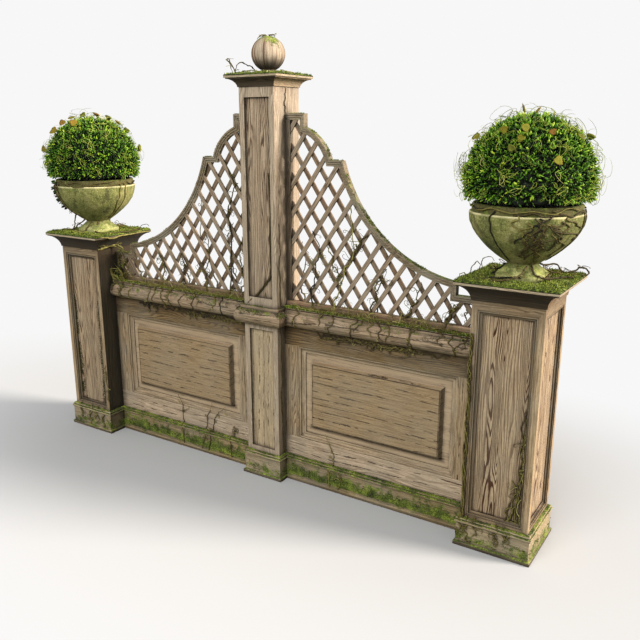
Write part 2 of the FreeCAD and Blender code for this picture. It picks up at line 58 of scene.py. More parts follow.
lath_lean = atan2(133, 91)
golden_angle = 2.399963


# Shader building

def rgb(code):
    """An sRGB hex colour as the linear values that a shader takes."""
    c = np.array([int(code[i:i + 2], 16) for i in (1, 3, 5)]) / 255
    return (*np.where(c <= 0.04045, c / 12.92, ((c + 0.055) / 1.055) ** 2.4).tolist(), 1.0)


def per(size):
    """Texture scale for a pattern whose features are about size millimetres."""
    return METRE / size


def blend(a, b, share):
    """A colour between two hex colours, as linear values."""
    return tuple(p + (q - p) * share for p, q in zip(rgb(a), rgb(b)))


def add(tree, kind, inputs=(), out=0, stops=(), **settings):
    """Add a node: settings are its properties, inputs its values or links, stops a ramp's (place, colour).

    A colour is a hex colour or linear values, in a ramp also a grey. A ramp's first two stops are its ends.
    """
    made = tree.nodes.new("ShaderNode" + kind)
    for key, value in settings.items():
        setattr(made, key, value)
    for key, value in dict(inputs).items():
        if isinstance(value, bpy.types.NodeSocket):
            tree.links.new(value, made.inputs[key])
        else:
            made.inputs[key].default_value = rgb(value) if isinstance(value, str) else value
    for i, (place, colour) in enumerate(stops):
        dot = made.color_ramp.elements[i] if i < 2 else made.color_ramp.elements.new(place)
        dot.position = place
        if isinstance(colour, str):
            colour = rgb(colour)
        dot.color = colour if np.ndim(colour) else (colour, colour, colour, 1.0)
    return made.outputs[out] if len(made.outputs) else None


def fresh(name):
    """A new material and its empty tree."""
    made = bpy.data.materials.new(name)
    made.use_nodes = True
    made.node_tree.nodes.clear()
    return made, made.node_tree


def dull_skin(t, tint, relief, rough, more=()):
    """Ends a material: a dull surface. relief is what its Bump node takes, more what the skin takes beside."""
    bump = add(t, "Bump", relief)
    skin = {"Base Color": tint, "Roughness": rough, "Normal": bump, "Specular IOR Level": 0.25, **dict(more)}
    add(t, "OutputMaterial", {"Surface": add(t, "BsdfPrincipled", skin)})


def moss_colour(t, where):
    """Cushion moss: dark green between bright yellow-green tips, by two sizes of noise."""
    fine = add(t, "TexNoise", {"Vector": where, "Scale": per(6), "Detail": 3.0})
    broad = add(t, "TexNoise", {"Vector": where, "Scale": per(60), "Detail": 2.0})
    both = add(t, "Math", {0: fine, 1: broad}, operation="ADD")
    both = add(t, "Math", {0: both, 1: 0.5}, operation="MULTIPLY")
    return add(t, "ValToRGB", {"Fac": both},
               stops=((0.37, "#1b230a"), (0.64, "#8d963c"), (0.47, "#3f4b18"), (0.55, "#5f6d24")))


def weathered_wood(name, early, late, grain=0.0, arch=60.0, pitch=9.0, lines=0.5, rows=0.0, grey=0.35,
                   moss=-0.8, climb=0.0, damp=0.0, dirt_and_shade=0.8, reach=50.0, soften=2.0, streak=0.5, inward_shade=0.0,
                   front=0.0, undercut=0.0, darkening=None, sunk=0.0, board=None, joint_and_shadow_line=None, turned=False):
    """Unpainted softwood after years outdoors: grey-brown, dark growth lines, checks, soiling, painted shade,
    moss on top.

    early and late are the colours of early and late wood. grain is how far the fibre leans from upright in
    the plane of the screen, in radians. Growth lines are contour lines of a slope, one for each pitch, plus a
    noise that is arch wide and drawn out along the fibre: they run straight and close in columns of flames.
    lines is their strength, streak the depth of the fibre's own colour, and rows the space between rows of
    short dark checks. turned wood has its fibre along the meridians.

    board is (x, z, half width, half height) of a frame on either side of the centre post, and half depth where
    the frame goes round a pedestal: its level members have level grain, the others upright grain. joint is
    (place, half width, share) of a dark line that far inside the frame's edge: a real gap on the pedestals'
    frames, painted shade on and beside the panel beads and round the raised field. Given sunk, the board is a
    raised field with a painted shadow and some soiling below it, paler where it lies nearer to the middle plane
    than sunk.

    grey is the share of bleached patches. dirt is how much corners within reach darken, partly by soiling and
    partly as painted shade, and edges are worn to a radius of soften. moss is how much of it grows, climb how
    much more on what faces up, damp how much more, or less if below 0, near the ground. shelter paints shade on
    faces that look along the screen to its middle, front on those that look to the front or back, undercut on
    those that look right or down. stain is (low, high, share): it darkens from one height up to another, as
    under the caps and the rails, partly as soiling and partly as painted shade.
    """
    widest_bead = 35.0
    bleached, raised, rubbed = "#8f8778", "#c2ab8f", "#c9b596"
    old_dirt_and_shadow, corner_soiling_and_shade, shade, inward_shade_tint, overhang_shade_and_soiling = "#24180c", "#1d160d", "#1c160a", "#17160d", "#33240f"
    mat, t = fresh(name)
    where = add(t, "TexCoord", out="Object")
    xyz = add(t, "SeparateXYZ", {0: where}).node.outputs
    true = add(t, "NewGeometry", out="True Normal")
    facing = add(t, "SeparateXYZ", {0: true}).node.outputs
    p = add(t, "Mapping", {"Vector": where, "Rotation": (0.0, -grain, 0.0)})
    if turned:
        flat = add(t, "VectorMath", {0: where, 1: (1.0, 1.0, 0.0)}, operation="MULTIPLY")
        flat = add(t, "VectorMath", {0: flat}, operation="NORMALIZE")
        flat = add(t, "VectorMath", {0: flat, "Scale": finial_r * MM}, operation="SCALE")
        p = add(t, "VectorMath", {0: where, 1: (0.0, 0.0, 1.0), 2: flat}, operation="MULTIPLY_ADD")
    if board:
        gaps = []
        for axis, middle, half in zip((0, 2, 1), (board[0], board[1], 0.0), board[2:]):
            off = add(t, "Math", {0: xyz[axis]}, operation="ABSOLUTE")
            off = add(t, "Math", {0: off, 1: middle * MM}, operation="SUBTRACT")
            off = add(t, "Math", {0: off}, operation="ABSOLUTE")
            gaps.append(add(t, "Math", {0: half * MM, 1: off}, operation="SUBTRACT"))
        if len(gaps) > 2:
            gaps[0] = add(t, "Math", {0: gaps[0], 1: gaps[2]}, operation="MAXIMUM")
        edge = add(t, "Math", {0: gaps[0], 1: gaps[1]}, operation="MINIMUM")
        if not sunk:
            rail = add(t, "Math", {0: gaps[0], 1: widest_bead * MM}, operation="MINIMUM")
            upright = add(t, "Math", {0: gaps[1], 1: rail}, operation="GREATER_THAN")
            p = add(t, "Mix", {0: upright, 4: p, 5: where}, 1, data_type="VECTOR")

    def along_fibre(size, along, detail=2.0, rough=0.5):
        """A pattern whose features are size millimetres across the fibre and size / along with it."""
        near = add(t, "Mapping", {"Vector": p, "Scale": (1.0, 1.0, along)})
        return add(t, "TexNoise", {"Vector": near, "Scale": per(size), "Detail": detail, "Roughness": rough})

    # Growth lines, fibre and pores
    parts = add(t, "SeparateXYZ", {0: p}).node.outputs
    across = add(t, "Math", {0: parts[0], 1: parts[1]}, operation="ADD")
    rise = add(t, "Math", {0: across, 1: per(pitch), 2: along_fibre(16, 0.14, 3.0)}, operation="MULTIPLY_ADD")
    patch = add(t, "ValToRGB", {"Fac": along_fibre(62, 0.02)}, stops=((0.44, 0.55), (0.55, 1.0)))
    flame = add(t, "Math", {0: along_fibre(arch, 0.12, 1.0), 1: patch}, operation="MULTIPLY")
    rise = add(t, "Math", {0: flame, 1: 2.4 * arch / pitch, 2: rise}, operation="MULTIPLY_ADD")
    saw = add(t, "Math", {0: rise}, operation="FRACT")
    line = add(t, "ValToRGB", {"Fac": saw},
               stops=((0.0, 0.1), (1.0, 0.1), (0.06, 0.0), (0.5, 0.0), (0.74, 1.0), (0.95, 1.0)))
    mark = add(t, "Math", {0: line, 1: patch}, operation="MULTIPLY")
    mark = add(t, "Math", {0: mark, 1: lines}, operation="MULTIPLY", use_clamp=True)
    fibre = along_fibre(13 if turned else 5, 0.04, 4.0, 0.65)
    tint = add(t, "ValToRGB", {"Fac": fibre}, stops=((0.4, blend(early, late, streak)), (0.57, early)))
    pores = add(t, "ValToRGB", {"Fac": along_fibre(4, 0.25, 3.0, 0.7)}, stops=((0.5, 0.0), (0.68, 0.35)))
    height = add(t, "Math", {0: fibre, 1: mark}, operation="SUBTRACT")
    coats = [(pores, late), (mark, late)]
    if rows:
        row = add(t, "Math", {0: along_fibre(150, 0.15), 1: 0.09, 2: across}, operation="MULTIPLY_ADD")
        row = add(t, "Math", {0: along_fibre(9, 0.6), 1: 0.009, 2: row}, operation="MULTIPLY_ADD")
        row = add(t, "Math", {0: row, 1: rows / 2 * MM}, operation="PINGPONG")
        row = add(t, "MapRange", {0: row, 1: 0.0014, 2: 0.003, 3: 1.0, 4: 0.0})
        check = add(t, "ValToRGB", {"Fac": along_fibre(17, 0.3)}, stops=((0.47, 0.0), (0.55, 0.9)))
        check = add(t, "Math", {0: row, 1: check}, operation="MULTIPLY")
        height = add(t, "Math", {0: height, 1: check}, operation="SUBTRACT")
        coats.append((check, old_dirt_and_shadow))

    # Bleaching and wear
    bleach = add(t, "TexNoise", {"Vector": where, "Scale": per(200), "Detail": 4.0})
    coats.append((add(t, "ValToRGB", {"Fac": bleach}, stops=((0.42, 0.0), (0.64, grey))), bleached))
    if sunk:
        deep = add(t, "Math", {0: xyz[1]}, operation="ABSOLUTE")
        deep = add(t, "MapRange", {0: deep, 1: sunk * MM, 2: (sunk + 2.0) * MM, 3: 0.5, 4: 0.0})
        # Painted shadow, with some soiling, on the ground just below the raised field
        below = add(t, "MapRange", {0: edge, 1: -0.032, 2: -0.01, 3: 0.0, 4: 0.85})
        low = add(t, "Math", {0: xyz[2], 1: (board[1] - board[3]) * MM}, operation="LESS_THAN")
        below = add(t, "Math", {0: below, 1: low}, operation="MULTIPLY")
        coats += [(deep, raised), (below, old_dirt_and_shadow)]
    soft = add(t, "Bevel", {"Radius": soften * MM}, samples=4)
    worn = add(t, "VectorMath", {0: soft, 1: true}, 1, operation="DOT_PRODUCT")
    coats.append((add(t, "ValToRGB", {"Fac": worn}, stops=((0.8, 0.7), (0.985, 0.0))), rubbed))

    # Dark lines, then soiling and painted shade: in corners, on faces by the way they look, and up high
    if joint_and_shadow_line:
        # A dark line: a real gap on the pedestals' frames, painted shade on and beside the beads and round the
        # raised field
        place, half, share = joint_and_shadow_line
        dark_line = add(t, "Math", {0: edge, 1: place * MM}, operation="SUBTRACT")
        dark_line = add(t, "Math", {0: dark_line}, operation="ABSOLUTE")
        dark_line = add(t, "MapRange", {0: dark_line, 1: 0.4 * half * MM, 2: half * MM, 3: share, 4: 0.0})
        coats.append((add(t, "Math", {0: dark_line, 1: patch}, operation="MULTIPLY"), old_dirt_and_shadow))
    # Corners darkened by ambient occlusion: partly soiling, partly painted shade
    corner = add(t, "AmbientOcclusion", {"Distance": reach * MM}, 1, samples=8)
    corner = add(t, "Math", {0: along_fibre(26, 0.1, 4.0), 1: -0.55, 2: corner}, operation="MULTIPLY_ADD")
    soiling_and_shade = add(t, "ValToRGB", {"Fac": corner}, stops=((0.1, dirt_and_shade), (0.68, 0.0), (0.42, dirt_and_shade * 0.65)))
    coats.append((soiling_and_shade, corner_soiling_and_shade))
    # Painted shade on faces that look along the screen towards its middle
    if inward_shade:
        inward = add(t, "Math", {0: xyz[0], 1: facing[0]}, operation="MULTIPLY")
        coats.append((add(t, "MapRange", {0: inward, 1: -0.3, 2: -0.8, 3: 0.0, 4: inward_shade}), inward_shade_tint))
    # Painted shade on faces that look to the front or the back
    if front:
        ahead = add(t, "Math", {0: facing[1]}, operation="ABSOLUTE")
        coats.append((add(t, "MapRange", {0: ahead, 1: 0.05, 2: 0.2, 3: 0.0, 4: front}), shade))
    # Painted shade on faces that look right or down
    if undercut:
        under = add(t, "Math", {0: facing[0], 1: facing[2]}, operation="SUBTRACT")
        coats.append((add(t, "MapRange", {0: under, 1: 0.2, 2: 0.6, 3: 0.0, 4: undercut}), shade))
    # Darker from one height up to another, as under the caps and the rails: partly soiling, partly painted
    # shade
    if darkening:
        low, high, share = darkening
        risen = add(t, "MapRange", {0: xyz[2], 1: low * MM, 2: high * MM, 3: 0.0, 4: share})
        coats.append((risen, overhang_shade_and_soiling))

    # Moss: a rough noise, more of it on what faces up and, by damp, near the ground. Then all coats in turn
    cover = add(t, "TexNoise", {"Vector": where, "Scale": per(45), "Detail": 6.0, "Roughness": 0.72})
    cover = add(t, "Math", {0: facing[2], 1: climb, 2: cover}, operation="MULTIPLY_ADD")
    damp_to = 0.17 if damp > 0 else 0.032
    low = add(t, "MapRange", {0: xyz[2], 1: 0.016, 2: damp_to, 3: moss + damp, 4: moss})
    cover = add(t, "Math", {0: cover, 1: low}, operation="ADD")
    if damp < 0:
        bare = add(t, "MapRange", {0: xyz[2], 1: 0.05, 2: 0.095, 3: 0.0, 4: -0.2})
        cover = add(t, "Math", {0: cover, 1: bare}, operation="ADD")
    cover = add(t, "ValToRGB", {"Fac": cover}, stops=((0.0, 0.0), (0.12, 0.95)))
    coats.append((cover, moss_colour(t, where)))
    for share, colour in coats:
        tint = add(t, "Mix", {0: share, 6: tint, 7: colour}, 2, data_type="RGBA")
    dull_skin(t, tint, {"Height": height, "Strength": 0.55, "Distance": 0.003, "Normal": soft}, 0.82)
    return mat


def mossy_limestone():
    """Cast limestone, pitted and stained: buff stone under an olive algal film, dark runs, a pale lip.

    Its corners darken by ambient occlusion, partly as soiling and partly as painted shade. The piece's own
    shade value is 1 on the worn lip, 0 on the bowl and below 0 on the dirty collar.
    """
    mat, t = fresh("mossy_limestone")
    where = add(t, "TexCoord", out="Object")
    part = add(t, "Attribute", out="Fac", attribute_name="shade")
    broad = add(t, "TexNoise", {"Vector": where, "Scale": per(110), "Detail": 5.0, "Roughness": 0.6})
    tint = add(t, "ValToRGB", {"Fac": broad},
               stops=((0.36, "#3b4220"), (0.66, "#a99f6e"), (0.46, "#5c632e"), (0.55, "#828148")))
    grit = add(t, "TexNoise", {"Vector": where, "Scale": per(7), "Detail": 4.0, "Roughness": 0.75})
    speck = add(t, "ValToRGB", {"Fac": grit},
                stops=((0.36, "#35361a"), (0.68, "#c9c190"), (0.47, "#6a6a3b"), (0.56, "#888650")))
    drawn_down = add(t, "Mapping", {"Vector": where, "Scale": (1.0, 1.0, 0.2)})
    run = add(t, "TexNoise", {"Vector": drawn_down, "Scale": per(36), "Detail": 3.0})
    run = add(t, "ValToRGB", {"Fac": run}, stops=((0.54, 0.0), (0.66, 0.6)))
    pits = add(t, "TexVoronoi", {"Vector": where, "Scale": per(15)})
    pits = add(t, "ValToRGB", {"Fac": pits}, stops=((0.06, 0.9), (0.2, 0.0)))
    darkening = add(t, "MapRange", {0: part, 1: -1.0, 2: 0.0, 3: 0.75, 4: 0.0})
    # Corners darkened by ambient occlusion: partly soiling, partly painted shade
    corner = add(t, "AmbientOcclusion", {"Distance": 0.05}, 1, samples=8)
    soiling_and_shade = add(t, "ValToRGB", {"Fac": corner}, stops=((0.35, 0.5), (0.85, 0.0)))
    foot = add(t, "MapRange", {0: add(t, "SeparateXYZ", {0: where}, 2), 1: cap_top * MM + 0.03, 2: neck_z * MM,
                               3: 0.65, 4: 0.0})
    gritty = add(t, "ValToRGB", {"Fac": grit}, stops=((0.38, 0.5), (0.56, 1.0)))
    foot = add(t, "Math", {0: foot, 1: gritty}, operation="MULTIPLY")
    up = add(t, "SeparateXYZ", {0: add(t, "NewGeometry", out="True Normal")}, 2)
    cover = add(t, "TexNoise", {"Vector": where, "Scale": per(38), "Detail": 6.0, "Roughness": 0.7})
    cover = add(t, "Math", {0: up, 1: 0.16, 2: cover}, operation="MULTIPLY_ADD")
    cover = add(t, "ValToRGB", {"Fac": cover}, stops=((0.52, 0.0), (0.66, 0.75)))
    lip = add(t, "MapRange", {0: part, 1: 0.2, 2: 1.0, 3: 0.0, 4: 0.85})
    rubbed = add(t, "ValToRGB", {"Fac": broad}, stops=((0.4, 0.4), (0.55, 1.0)))
    lip = add(t, "Math", {0: lip, 1: rubbed}, operation="MULTIPLY")
    for share, colour in ((0.5, speck), (run, "#33311a"), (pits, "#35321b"), (darkening, "#3b3119"),
                          (soiling_and_shade, "#1e1d0d"), (foot, "#b2b374"), (cover, moss_colour(t, where)),
                          (lip, "#cdc294")):
        tint = add(t, "Mix", {0: share, 6: tint, 7: colour}, 2, data_type="RGBA")
    height = add(t, "Math", {0: grit, 1: pits}, operation="SUBTRACT")
    dull_skin(t, tint, {"Height": height, "Strength": 0.7, "Distance": 0.003}, 0.88)
    return mat


def growing(name, colours, grain, rough=0.65, through=0.0):
    """Something that grows: colour runs with the piece's own shade value from deep inside to tip, mottled.

    through is the share of light that goes into it, as into a leaf.
    """
    mat, t = fresh(name)
    where = add(t, "TexCoord", out="Object")
    depth = add(t, "Attribute", out="Fac", attribute_name="shade")
    mottle = add(t, "TexNoise", {"Vector": where, "Scale": per(grain), "Detail": 3.0})
    mixed = add(t, "Math", {0: mottle, 1: 0.5, 2: depth}, operation="MULTIPLY_ADD")
    mixed = add(t, "Math", {0: mixed, 1: 0.25}, operation="SUBTRACT")
    tint = add(t, "ValToRGB", {"Fac": mixed}, stops=colours)
    dull_skin(t, tint, {"Height": mottle, "Strength": 0.3, "Distance": 0.002}, rough,
              {"Subsurface Weight": through, "Subsurface Radius": (0.004, 0.008, 0.002)})
    return mat


# Surfaces as arrays

def ripple(points, size, seed):
    """Seeded unevenness from about -1 to 1: the sum of eight sine waves near one length, in scattered ways."""
    r = np.random.default_rng(seed)
    way = r.normal(size=(8, 3))
    way *= r.uniform(0.7, 1.4, (8, 1)) / np.linalg.norm(way, axis=1, keepdims=True)
    return np.sin(points @ way.T * (2 * pi / size) + r.uniform(0, 2 * pi, 8)).sum(-1) / 3


def unit(v):
    """Vectors of length one."""
    return v / np.maximum(np.linalg.norm(v, axis=-1, keepdims=True), 1e-9)


def aim(turn, up):
    """Directions at an angle round the upright axis and an angle above the level."""
    return np.stack([np.cos(up) * np.cos(turn), np.cos(up) * np.sin(turn), np.sin(up) + 0 * turn], -1)


def lattice(rows, columns, wrap=True):
    """Triangles between neighbouring rows and columns of a grid, joined round if wrapped."""
    r, c = np.meshgrid(np.arange(rows - 1), np.arange(columns if wrap else columns - 1), indexing="ij")
    n = (c + 1) % columns
    q = np.stack([r * columns + c, r * columns + n, (r + 1) * columns + n, (r + 1) * columns + c], -1)
    q = q.reshape(-1, 4)
    return np.concatenate([q[:, [0, 1, 2]], q[:, [0, 2, 3]]])


def capped(rows, columns):
    """Triangles of rings that end in two pole corners, which follow the rings' own corners."""
    c = np.arange(columns)
    n = (c + 1) % columns
    end = (rows - 1) * columns
    foot = np.stack([n, c, np.full(columns, rows * columns)], -1)
    head = np.stack([end + c, end + n, np.full(columns, rows * columns + 1)], -1)
    return np.concatenate([lattice(rows, columns), foot, head])


def with_poles(rings):
    """Corners of rings, (count, rows, columns, 3), followed by the middle of the first and the last ring."""
    count = len(rings)
    ends = np.stack([rings[:, 0].mean(1), rings[:, -1].mean(1)], 1)
    return np.concatenate([rings.reshape(count, -1, 3), ends], 1)


def repeated(faces, count, corners):
    """The same faces for each of count copies that have so many corners each."""
    return (faces[None] + (np.arange(count) * corners)[:, None, None]).reshape(-1, 3)


def piece(name, points, faces, material, slot, shade=None, smooth=True, stands_for=()):
    """A mesh of triangles that rides with the screen. shade is one value for each corner, or for all."""
    mesh = bpy.data.meshes.new(name)
    mesh.vertices.add(len(points))
    mesh.vertices.foreach_set("co", (np.asarray(points) * MM).astype(np.float32).ravel())
    mesh.loops.add(faces.size)
    mesh.loops.foreach_set("vertex_index", faces.astype(np.int32).ravel())
    mesh.polygons.add(len(faces))
    mesh.polygons.foreach_set("loop_start", np.arange(0, faces.size, 3, dtype=np.int32))
    mesh.polygons.foreach_set("use_smooth", np.full(len(faces), smooth))
    if shade is not None:
        values = shade.ravel() if np.ndim(shade) else np.full(len(points), shade)
        mesh.attributes.new("shade", "FLOAT", "POINT").data.foreach_set("value", values.astype(np.float32))
    mesh.update(calc_edges=True)
    mesh.materials.append(material)
    made = bpy.data.objects.new(name, mesh)
    bpy.context.scene.collection.objects.link(made)
    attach(made, "root")
    if stands_for:
        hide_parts(*stands_for)
    return made


def ringed(name, rings, *rest, **more):
    """A closed piece of rings about an axis, (rows, columns, 3), with a corner in the middle of each end."""
    piece(name, with_poles(rings[None])[0], capped(*rings.shape[:2]), *rest, **more)


# Finishes of the solids: weathered pine, greyer, darker or mossier by its place, some darker partly as painted
# shade

level = pi / 2
pedestal_window = (pedestal_x, 603.5, 122.0, 455.5, 122.0)
dado_frame, dado_field = (601, 480, 417, 242), (601, 480, 339, 164)
finishes = {
    "pedestal_panels": weathered_wood(
        "pine_panel_boards", "#b49d7f", "#3d1f0a", pitch=9.5, lines=1.1, grey=0.2, dirt_and_shade=0.95, streak=0.45,
        inward_shade=0.9, board=pedestal_window, joint_and_shadow_line=(17, 10, 0.85)),
    "pedestal_carcass": weathered_wood(
        "pine_pedestal_frame", "#bba17f", "#46311b", level, arch=50.0, lines=0.6, grey=0.28, damp=0.15,
        dirt_and_shade=0.95, inward_shade=0.9, darkening=(960, 1090, 0.45), board=pedestal_window, joint_and_shadow_line=(-2, 4, 0.5)),
    "pedestal_panel_beads": weathered_wood(
        "pine_panel_beads", "#a68f6f", "#3d2a15", level, arch=40.0, grey=0.5, dirt_and_shade=0.95, reach=30.0,
        soften=1.2, board=pedestal_window, joint_and_shadow_line=(12, 6, 0.85)),
    "dado_mouldings": weathered_wood(
        "pine_dado_moulding", "#b7a183", "#41290f", level, arch=40.0, lines=0.3, dirt_and_shade=0.6, reach=20.0,
        soften=1.2, darkening=(690, 730, 0.5), board=dado_frame),
    "dado_panel": weathered_wood(
        "pine_dado_panel", "#9f8868", "#4a3019", level, arch=120.0, pitch=16.0, lines=0.2, rows=38.0, grey=0.2,
        dirt_and_shade=0.9, reach=22.0, soften=3.0, streak=0.4, undercut=0.6, darkening=(640, 724, 0.3), sunk=24.0,
        board=dado_field, joint_and_shadow_line=(3, 4, 0.8)),
    "pedestal_plinth": weathered_wood(
        "pine_pedestal_skirting", "#b3a07f", "#4b3a24", level, grey=0.4, moss=-0.43, climb=0.3, damp=-0.2,
        dirt_and_shade=0.95, inward_shade=0.5),
    # Darker than the centre cap's cove: partly soiling, partly painted shade under the cap board
    "pedestal_cap_mould": weathered_wood(
        "pine_cap_cove", "#94795a", "#2c1b0c", level, lines=0.9, moss=-0.62, climb=0.1, dirt_and_shade=0.95,
        inward_shade=0.94, front=0.9),
    "centre_cap_mould": weathered_wood(
        "pine_centre_cap_cove", "#bda686", "#3c2812", level, lines=0.9, moss=-0.7, climb=0.1, dirt_and_shade=0.7,
        front=0.85),
    "pedestal_cap_slab": weathered_wood(
        "pine_cap_board", "#bfae92", "#5a4630", level, pitch=8.0, grey=0.6, moss=-0.6, climb=0.3, dirt_and_shade=0.3,
        soften=3.0, inward_shade=0.7),
    # Dark: partly soiling, partly painted shade under the half-round rail
    "dado_top_rail": weathered_wood(
        "pine_dado_top_rail", "#90764f", "#2c1a0a", level, arch=70.0, pitch=10.0, lines=0.7, rows=44.0,
        dirt_and_shade=1.0, reach=90.0, darkening=(700, 800, 0.5)),
    "dado_bottom_rail": weathered_wood(
        "pine_dado_bottom_rail", "#c6b096", "#523519", level, arch=70.0, pitch=10.0, lines=0.45, rows=40.0,
        grey=0.4, damp=0.1, streak=0.4),
    "dado_stiles": weathered_wood(
        "pine_dado_stiles", "#b09978", "#42270f", lines=0.7, rows=40.0, darkening=(640, 780, 0.4)),
    "centre_lower_panels": weathered_wood(
        "pine_centre_low_boards", "#b8a485", "#4a3019", arch=70.0, pitch=10.0, lines=0.35, rows=36.0, grey=0.2,
        reach=24.0, streak=0.4),
    "bay_plinth": weathered_wood(
        "pine_bay_skirting", "#9c8763", "#32230f", level, moss=-0.3, climb=0.3, damp=-0.5, dirt_and_shade=0.7),
    "bay_rail": weathered_wood(
        "pine_half_round_rail", "#a68f74", "#33220f", level, arch=50.0, rows=26.0, grey=0.3, moss=-0.68,
        climb=0.22, dirt_and_shade=0.95, soften=4.0),
    "dado_ledge": weathered_wood(
        "pine_ledge", "#8a7a5e", "#4d3019", level, arch=110.0, lines=0.8, moss=-0.5, climb=0.2),
    "trellis_sill": weathered_wood(
        "pine_trellis_sill", "#a98a6b", "#3c230d", level, arch=50.0, pitch=8.0, lines=0.6, moss=-0.7,
        climb=0.12, dirt_and_shade=0.5),
    "trellis_stiles": weathered_wood(
        "pine_trellis_stiles", "#7c6a54", "#2a1b0b", arch=40.0, pitch=7.0, lines=0.7, dirt_and_shade=0.95),
    "trellis_crest": weathered_wood(
        "pine_trellis_head", "#918169", "#30220f", level, arch=40.0, pitch=8.0, grey=0.6, moss=-0.6, climb=0.2,
        dirt_and_shade=1.0, reach=25.0, soften=1.0),
    "centre_post": weathered_wood(
        "pine_centre_frame", "#b9a791", "#43290f", lines=0.45, grey=0.3, damp=0.05, streak=0.4),
    "centre_upper_panels": weathered_wood(
        "pine_centre_boards", "#ac977e", "#371d09", arch=56.0, lines=0.95, grey=0.2, dirt_and_shade=0.95, streak=0.45),
    "finial": weathered_wood(
        "turned_pine", "#b3a38d", "#553216", arch=44.0, lines=0.0, grey=0.2, moss=-0.68, climb=0.3, dirt_and_shade=0.9,
        reach=90.0, streak=0.95, turned=True),
    "soil": weathered_wood("potting_soil", "#3a2c1d", "#171009", arch=110.0, lines=0.2, grey=0.0),
}
for side, s in SIDES.items():
    for layer, lean, early in (("front", s, "#9e8972"), ("back", -s, "#7f6852")):
        finishes[side + "_" + layer + "_laths"] = weathered_wood(
            "pine_" + layer + "_laths_" + side, early, "#33200d", lean * (pi / 2 - lath_lean), arch=40.0,
            lines=0.6, grey=0.4, dirt_and_shade=0.95, reach=30.0, soften=1.5)
same_as = {"centre_plinth": "pedestal_plinth", "centre_rail": "bay_rail",
           "centre_cap_slab": "pedestal_cap_slab", "finial_ball": "finial", "finial_dowel": "centre_post",
           "trellis_shoulder": "trellis_crest", "trellis_sweep": "trellis_crest",
           "trellis_end": "trellis_crest", "urn_soil": "soil"}

# Finishes of the new pieces: stone, and growth from its dark depth to its tips
limestone = mossy_limestone()
box_leaf = growing(
    "box_leaves",
    ((0.05, "#040801"), (0.95, "#a9be36"), (0.3, "#162a05"), (0.52, "#3b6511"), (0.74, "#709a20")),
    45.0, 0.6, 0.08)
moss_tuft = growing(
    "cushion_moss",
    ((0.1, "#151b06"), (0.95, "#bcb474"), (0.4, "#3c4815"), (0.62, "#6c7a28"), (0.8, "#98a03c")), 26.0, 0.9)
old_leaf = growing(
    "yellowed_round_leaves",
    ((0.1, "#3a420c"), (0.92, "#6c4a18"), (0.46, "#6b6a14"), (0.66, "#7a6018")), 14.0, 0.85, 0.1)
creeper_bark = growing(
    "creeper_stems",
    ((0.1, "#120e06"), (0.95, "#b5ac6c"), (0.4, "#4a3f20"), (0.65, "#746c36")), 9.0, 0.8)

finishes["urn"] = limestone
finishes["topiary"] = box_leaf
for name, made in nodes.items():
    kind = name.split("_", 1)[1] if name.split("_", 1)[0] in SIDES else name
    finish = finishes.get(name) or finishes.get(kind) or finishes[same_as[kind]]
    made.data.materials.clear()
    made.data.materials.append(finish)


# Stone urns and the turned ball

def urn(side, seed):
    """Urn on a square foot with round corners: rings whose reach from the axis goes from a square to a circle.

    Up the foot the square fades into the neck's circle with a power of the height, up the bowl the radius is
    the rim's less a square of the way down, then come the rim, the collar and the well. Two sizes of ripple
    age it, but not the sole.
    """
    sole, foot_top, lip_from, lip_to = cap_top + 3, cap_top + 24, 1437, rim_z + 0.3
    a = np.linspace(0, 2 * pi, 144, endpoint=False)
    square = (np.cos(a) ** 4 + np.sin(a) ** 4) ** -0.25
    rows = [(half * square, cap_top + rise) for half, rise in ((90, 0), (94, 2), (95, 12), (94, 20), (91, 24))]
    for share in np.linspace(0, 1, 14):
        keep = (1 - share) ** 1.2
        rows.append((neck_r + (89 * square - neck_r) * keep, foot_top + share * 36))
    for share in np.linspace(1, 0, 34):
        rows.append((bowl_r - (bowl_r - neck_r) * share ** 2 + 0 * a, bowl_z - share * (bowl_z - neck_z)))
    for r, z in ((222, 1445), (220, rim_z), (214.5, rim_z + 0.6), (213, rim_z + 2), (213, 1463), (212.5, 1477),
                 (210, collar_z), (194, collar_z), (191, 1477), (191, 1462), (191, 1456)):
        rows.append((r + 0 * a, z))
    reach = np.array([r for r, z in rows])
    z = np.array([z for r, z in rows])[:, None] + 0 * a
    rings = np.stack([reach * np.cos(a), reach * np.sin(a), z], -1)
    flat = rings.reshape(-1, 3)
    worn = 0.006 * ripple(flat, 150, seed) + 0.005 * ripple(flat, 34, seed + 1)
    flat[:, :2] *= (1 + worn * (flat[:, 2] > sole))[:, None]
    flat[:, 0] += SIDES[side] * pedestal_x
    part = np.where((z > lip_from) & (z < lip_to), 1.0, np.where(z > lip_to, -0.9, 0.0))
    part = np.concatenate([part.ravel(), [0.0, -1.0]])
    ringed(side + "_stone_urn", rings, limestone, "urn_stone", part, stands_for=(side + "_urn",))


def finial():
    """Turned ball on a short neck: a circle's radius round the post's axis, with shallow ribs like a gourd."""
    a = np.linspace(0, 2 * pi, 96, endpoint=False)
    up = np.linspace(-1.12, 1.5, 40)
    r = np.concatenate([[41, 42, 38, 34.5], finial_r * np.cos(up)])[:, None]
    z = np.concatenate([[0.2, 3, 10, 18], 92 + finial_r * np.sin(up)])[:, None] + centre_cap_top
    rib = 1 + 0.012 * np.cos(12 * a) * np.clip(r / finial_r, 0, 1) ** 2
    rings = np.stack([r * rib * np.cos(a), r * rib * np.sin(a), z + 0 * a], -1)
    ringed("turned_finial_ball", rings, finishes["finial"], "post_wood", stands_for=("finial_ball",))


# Clipped box balls

leaf_corners = 10


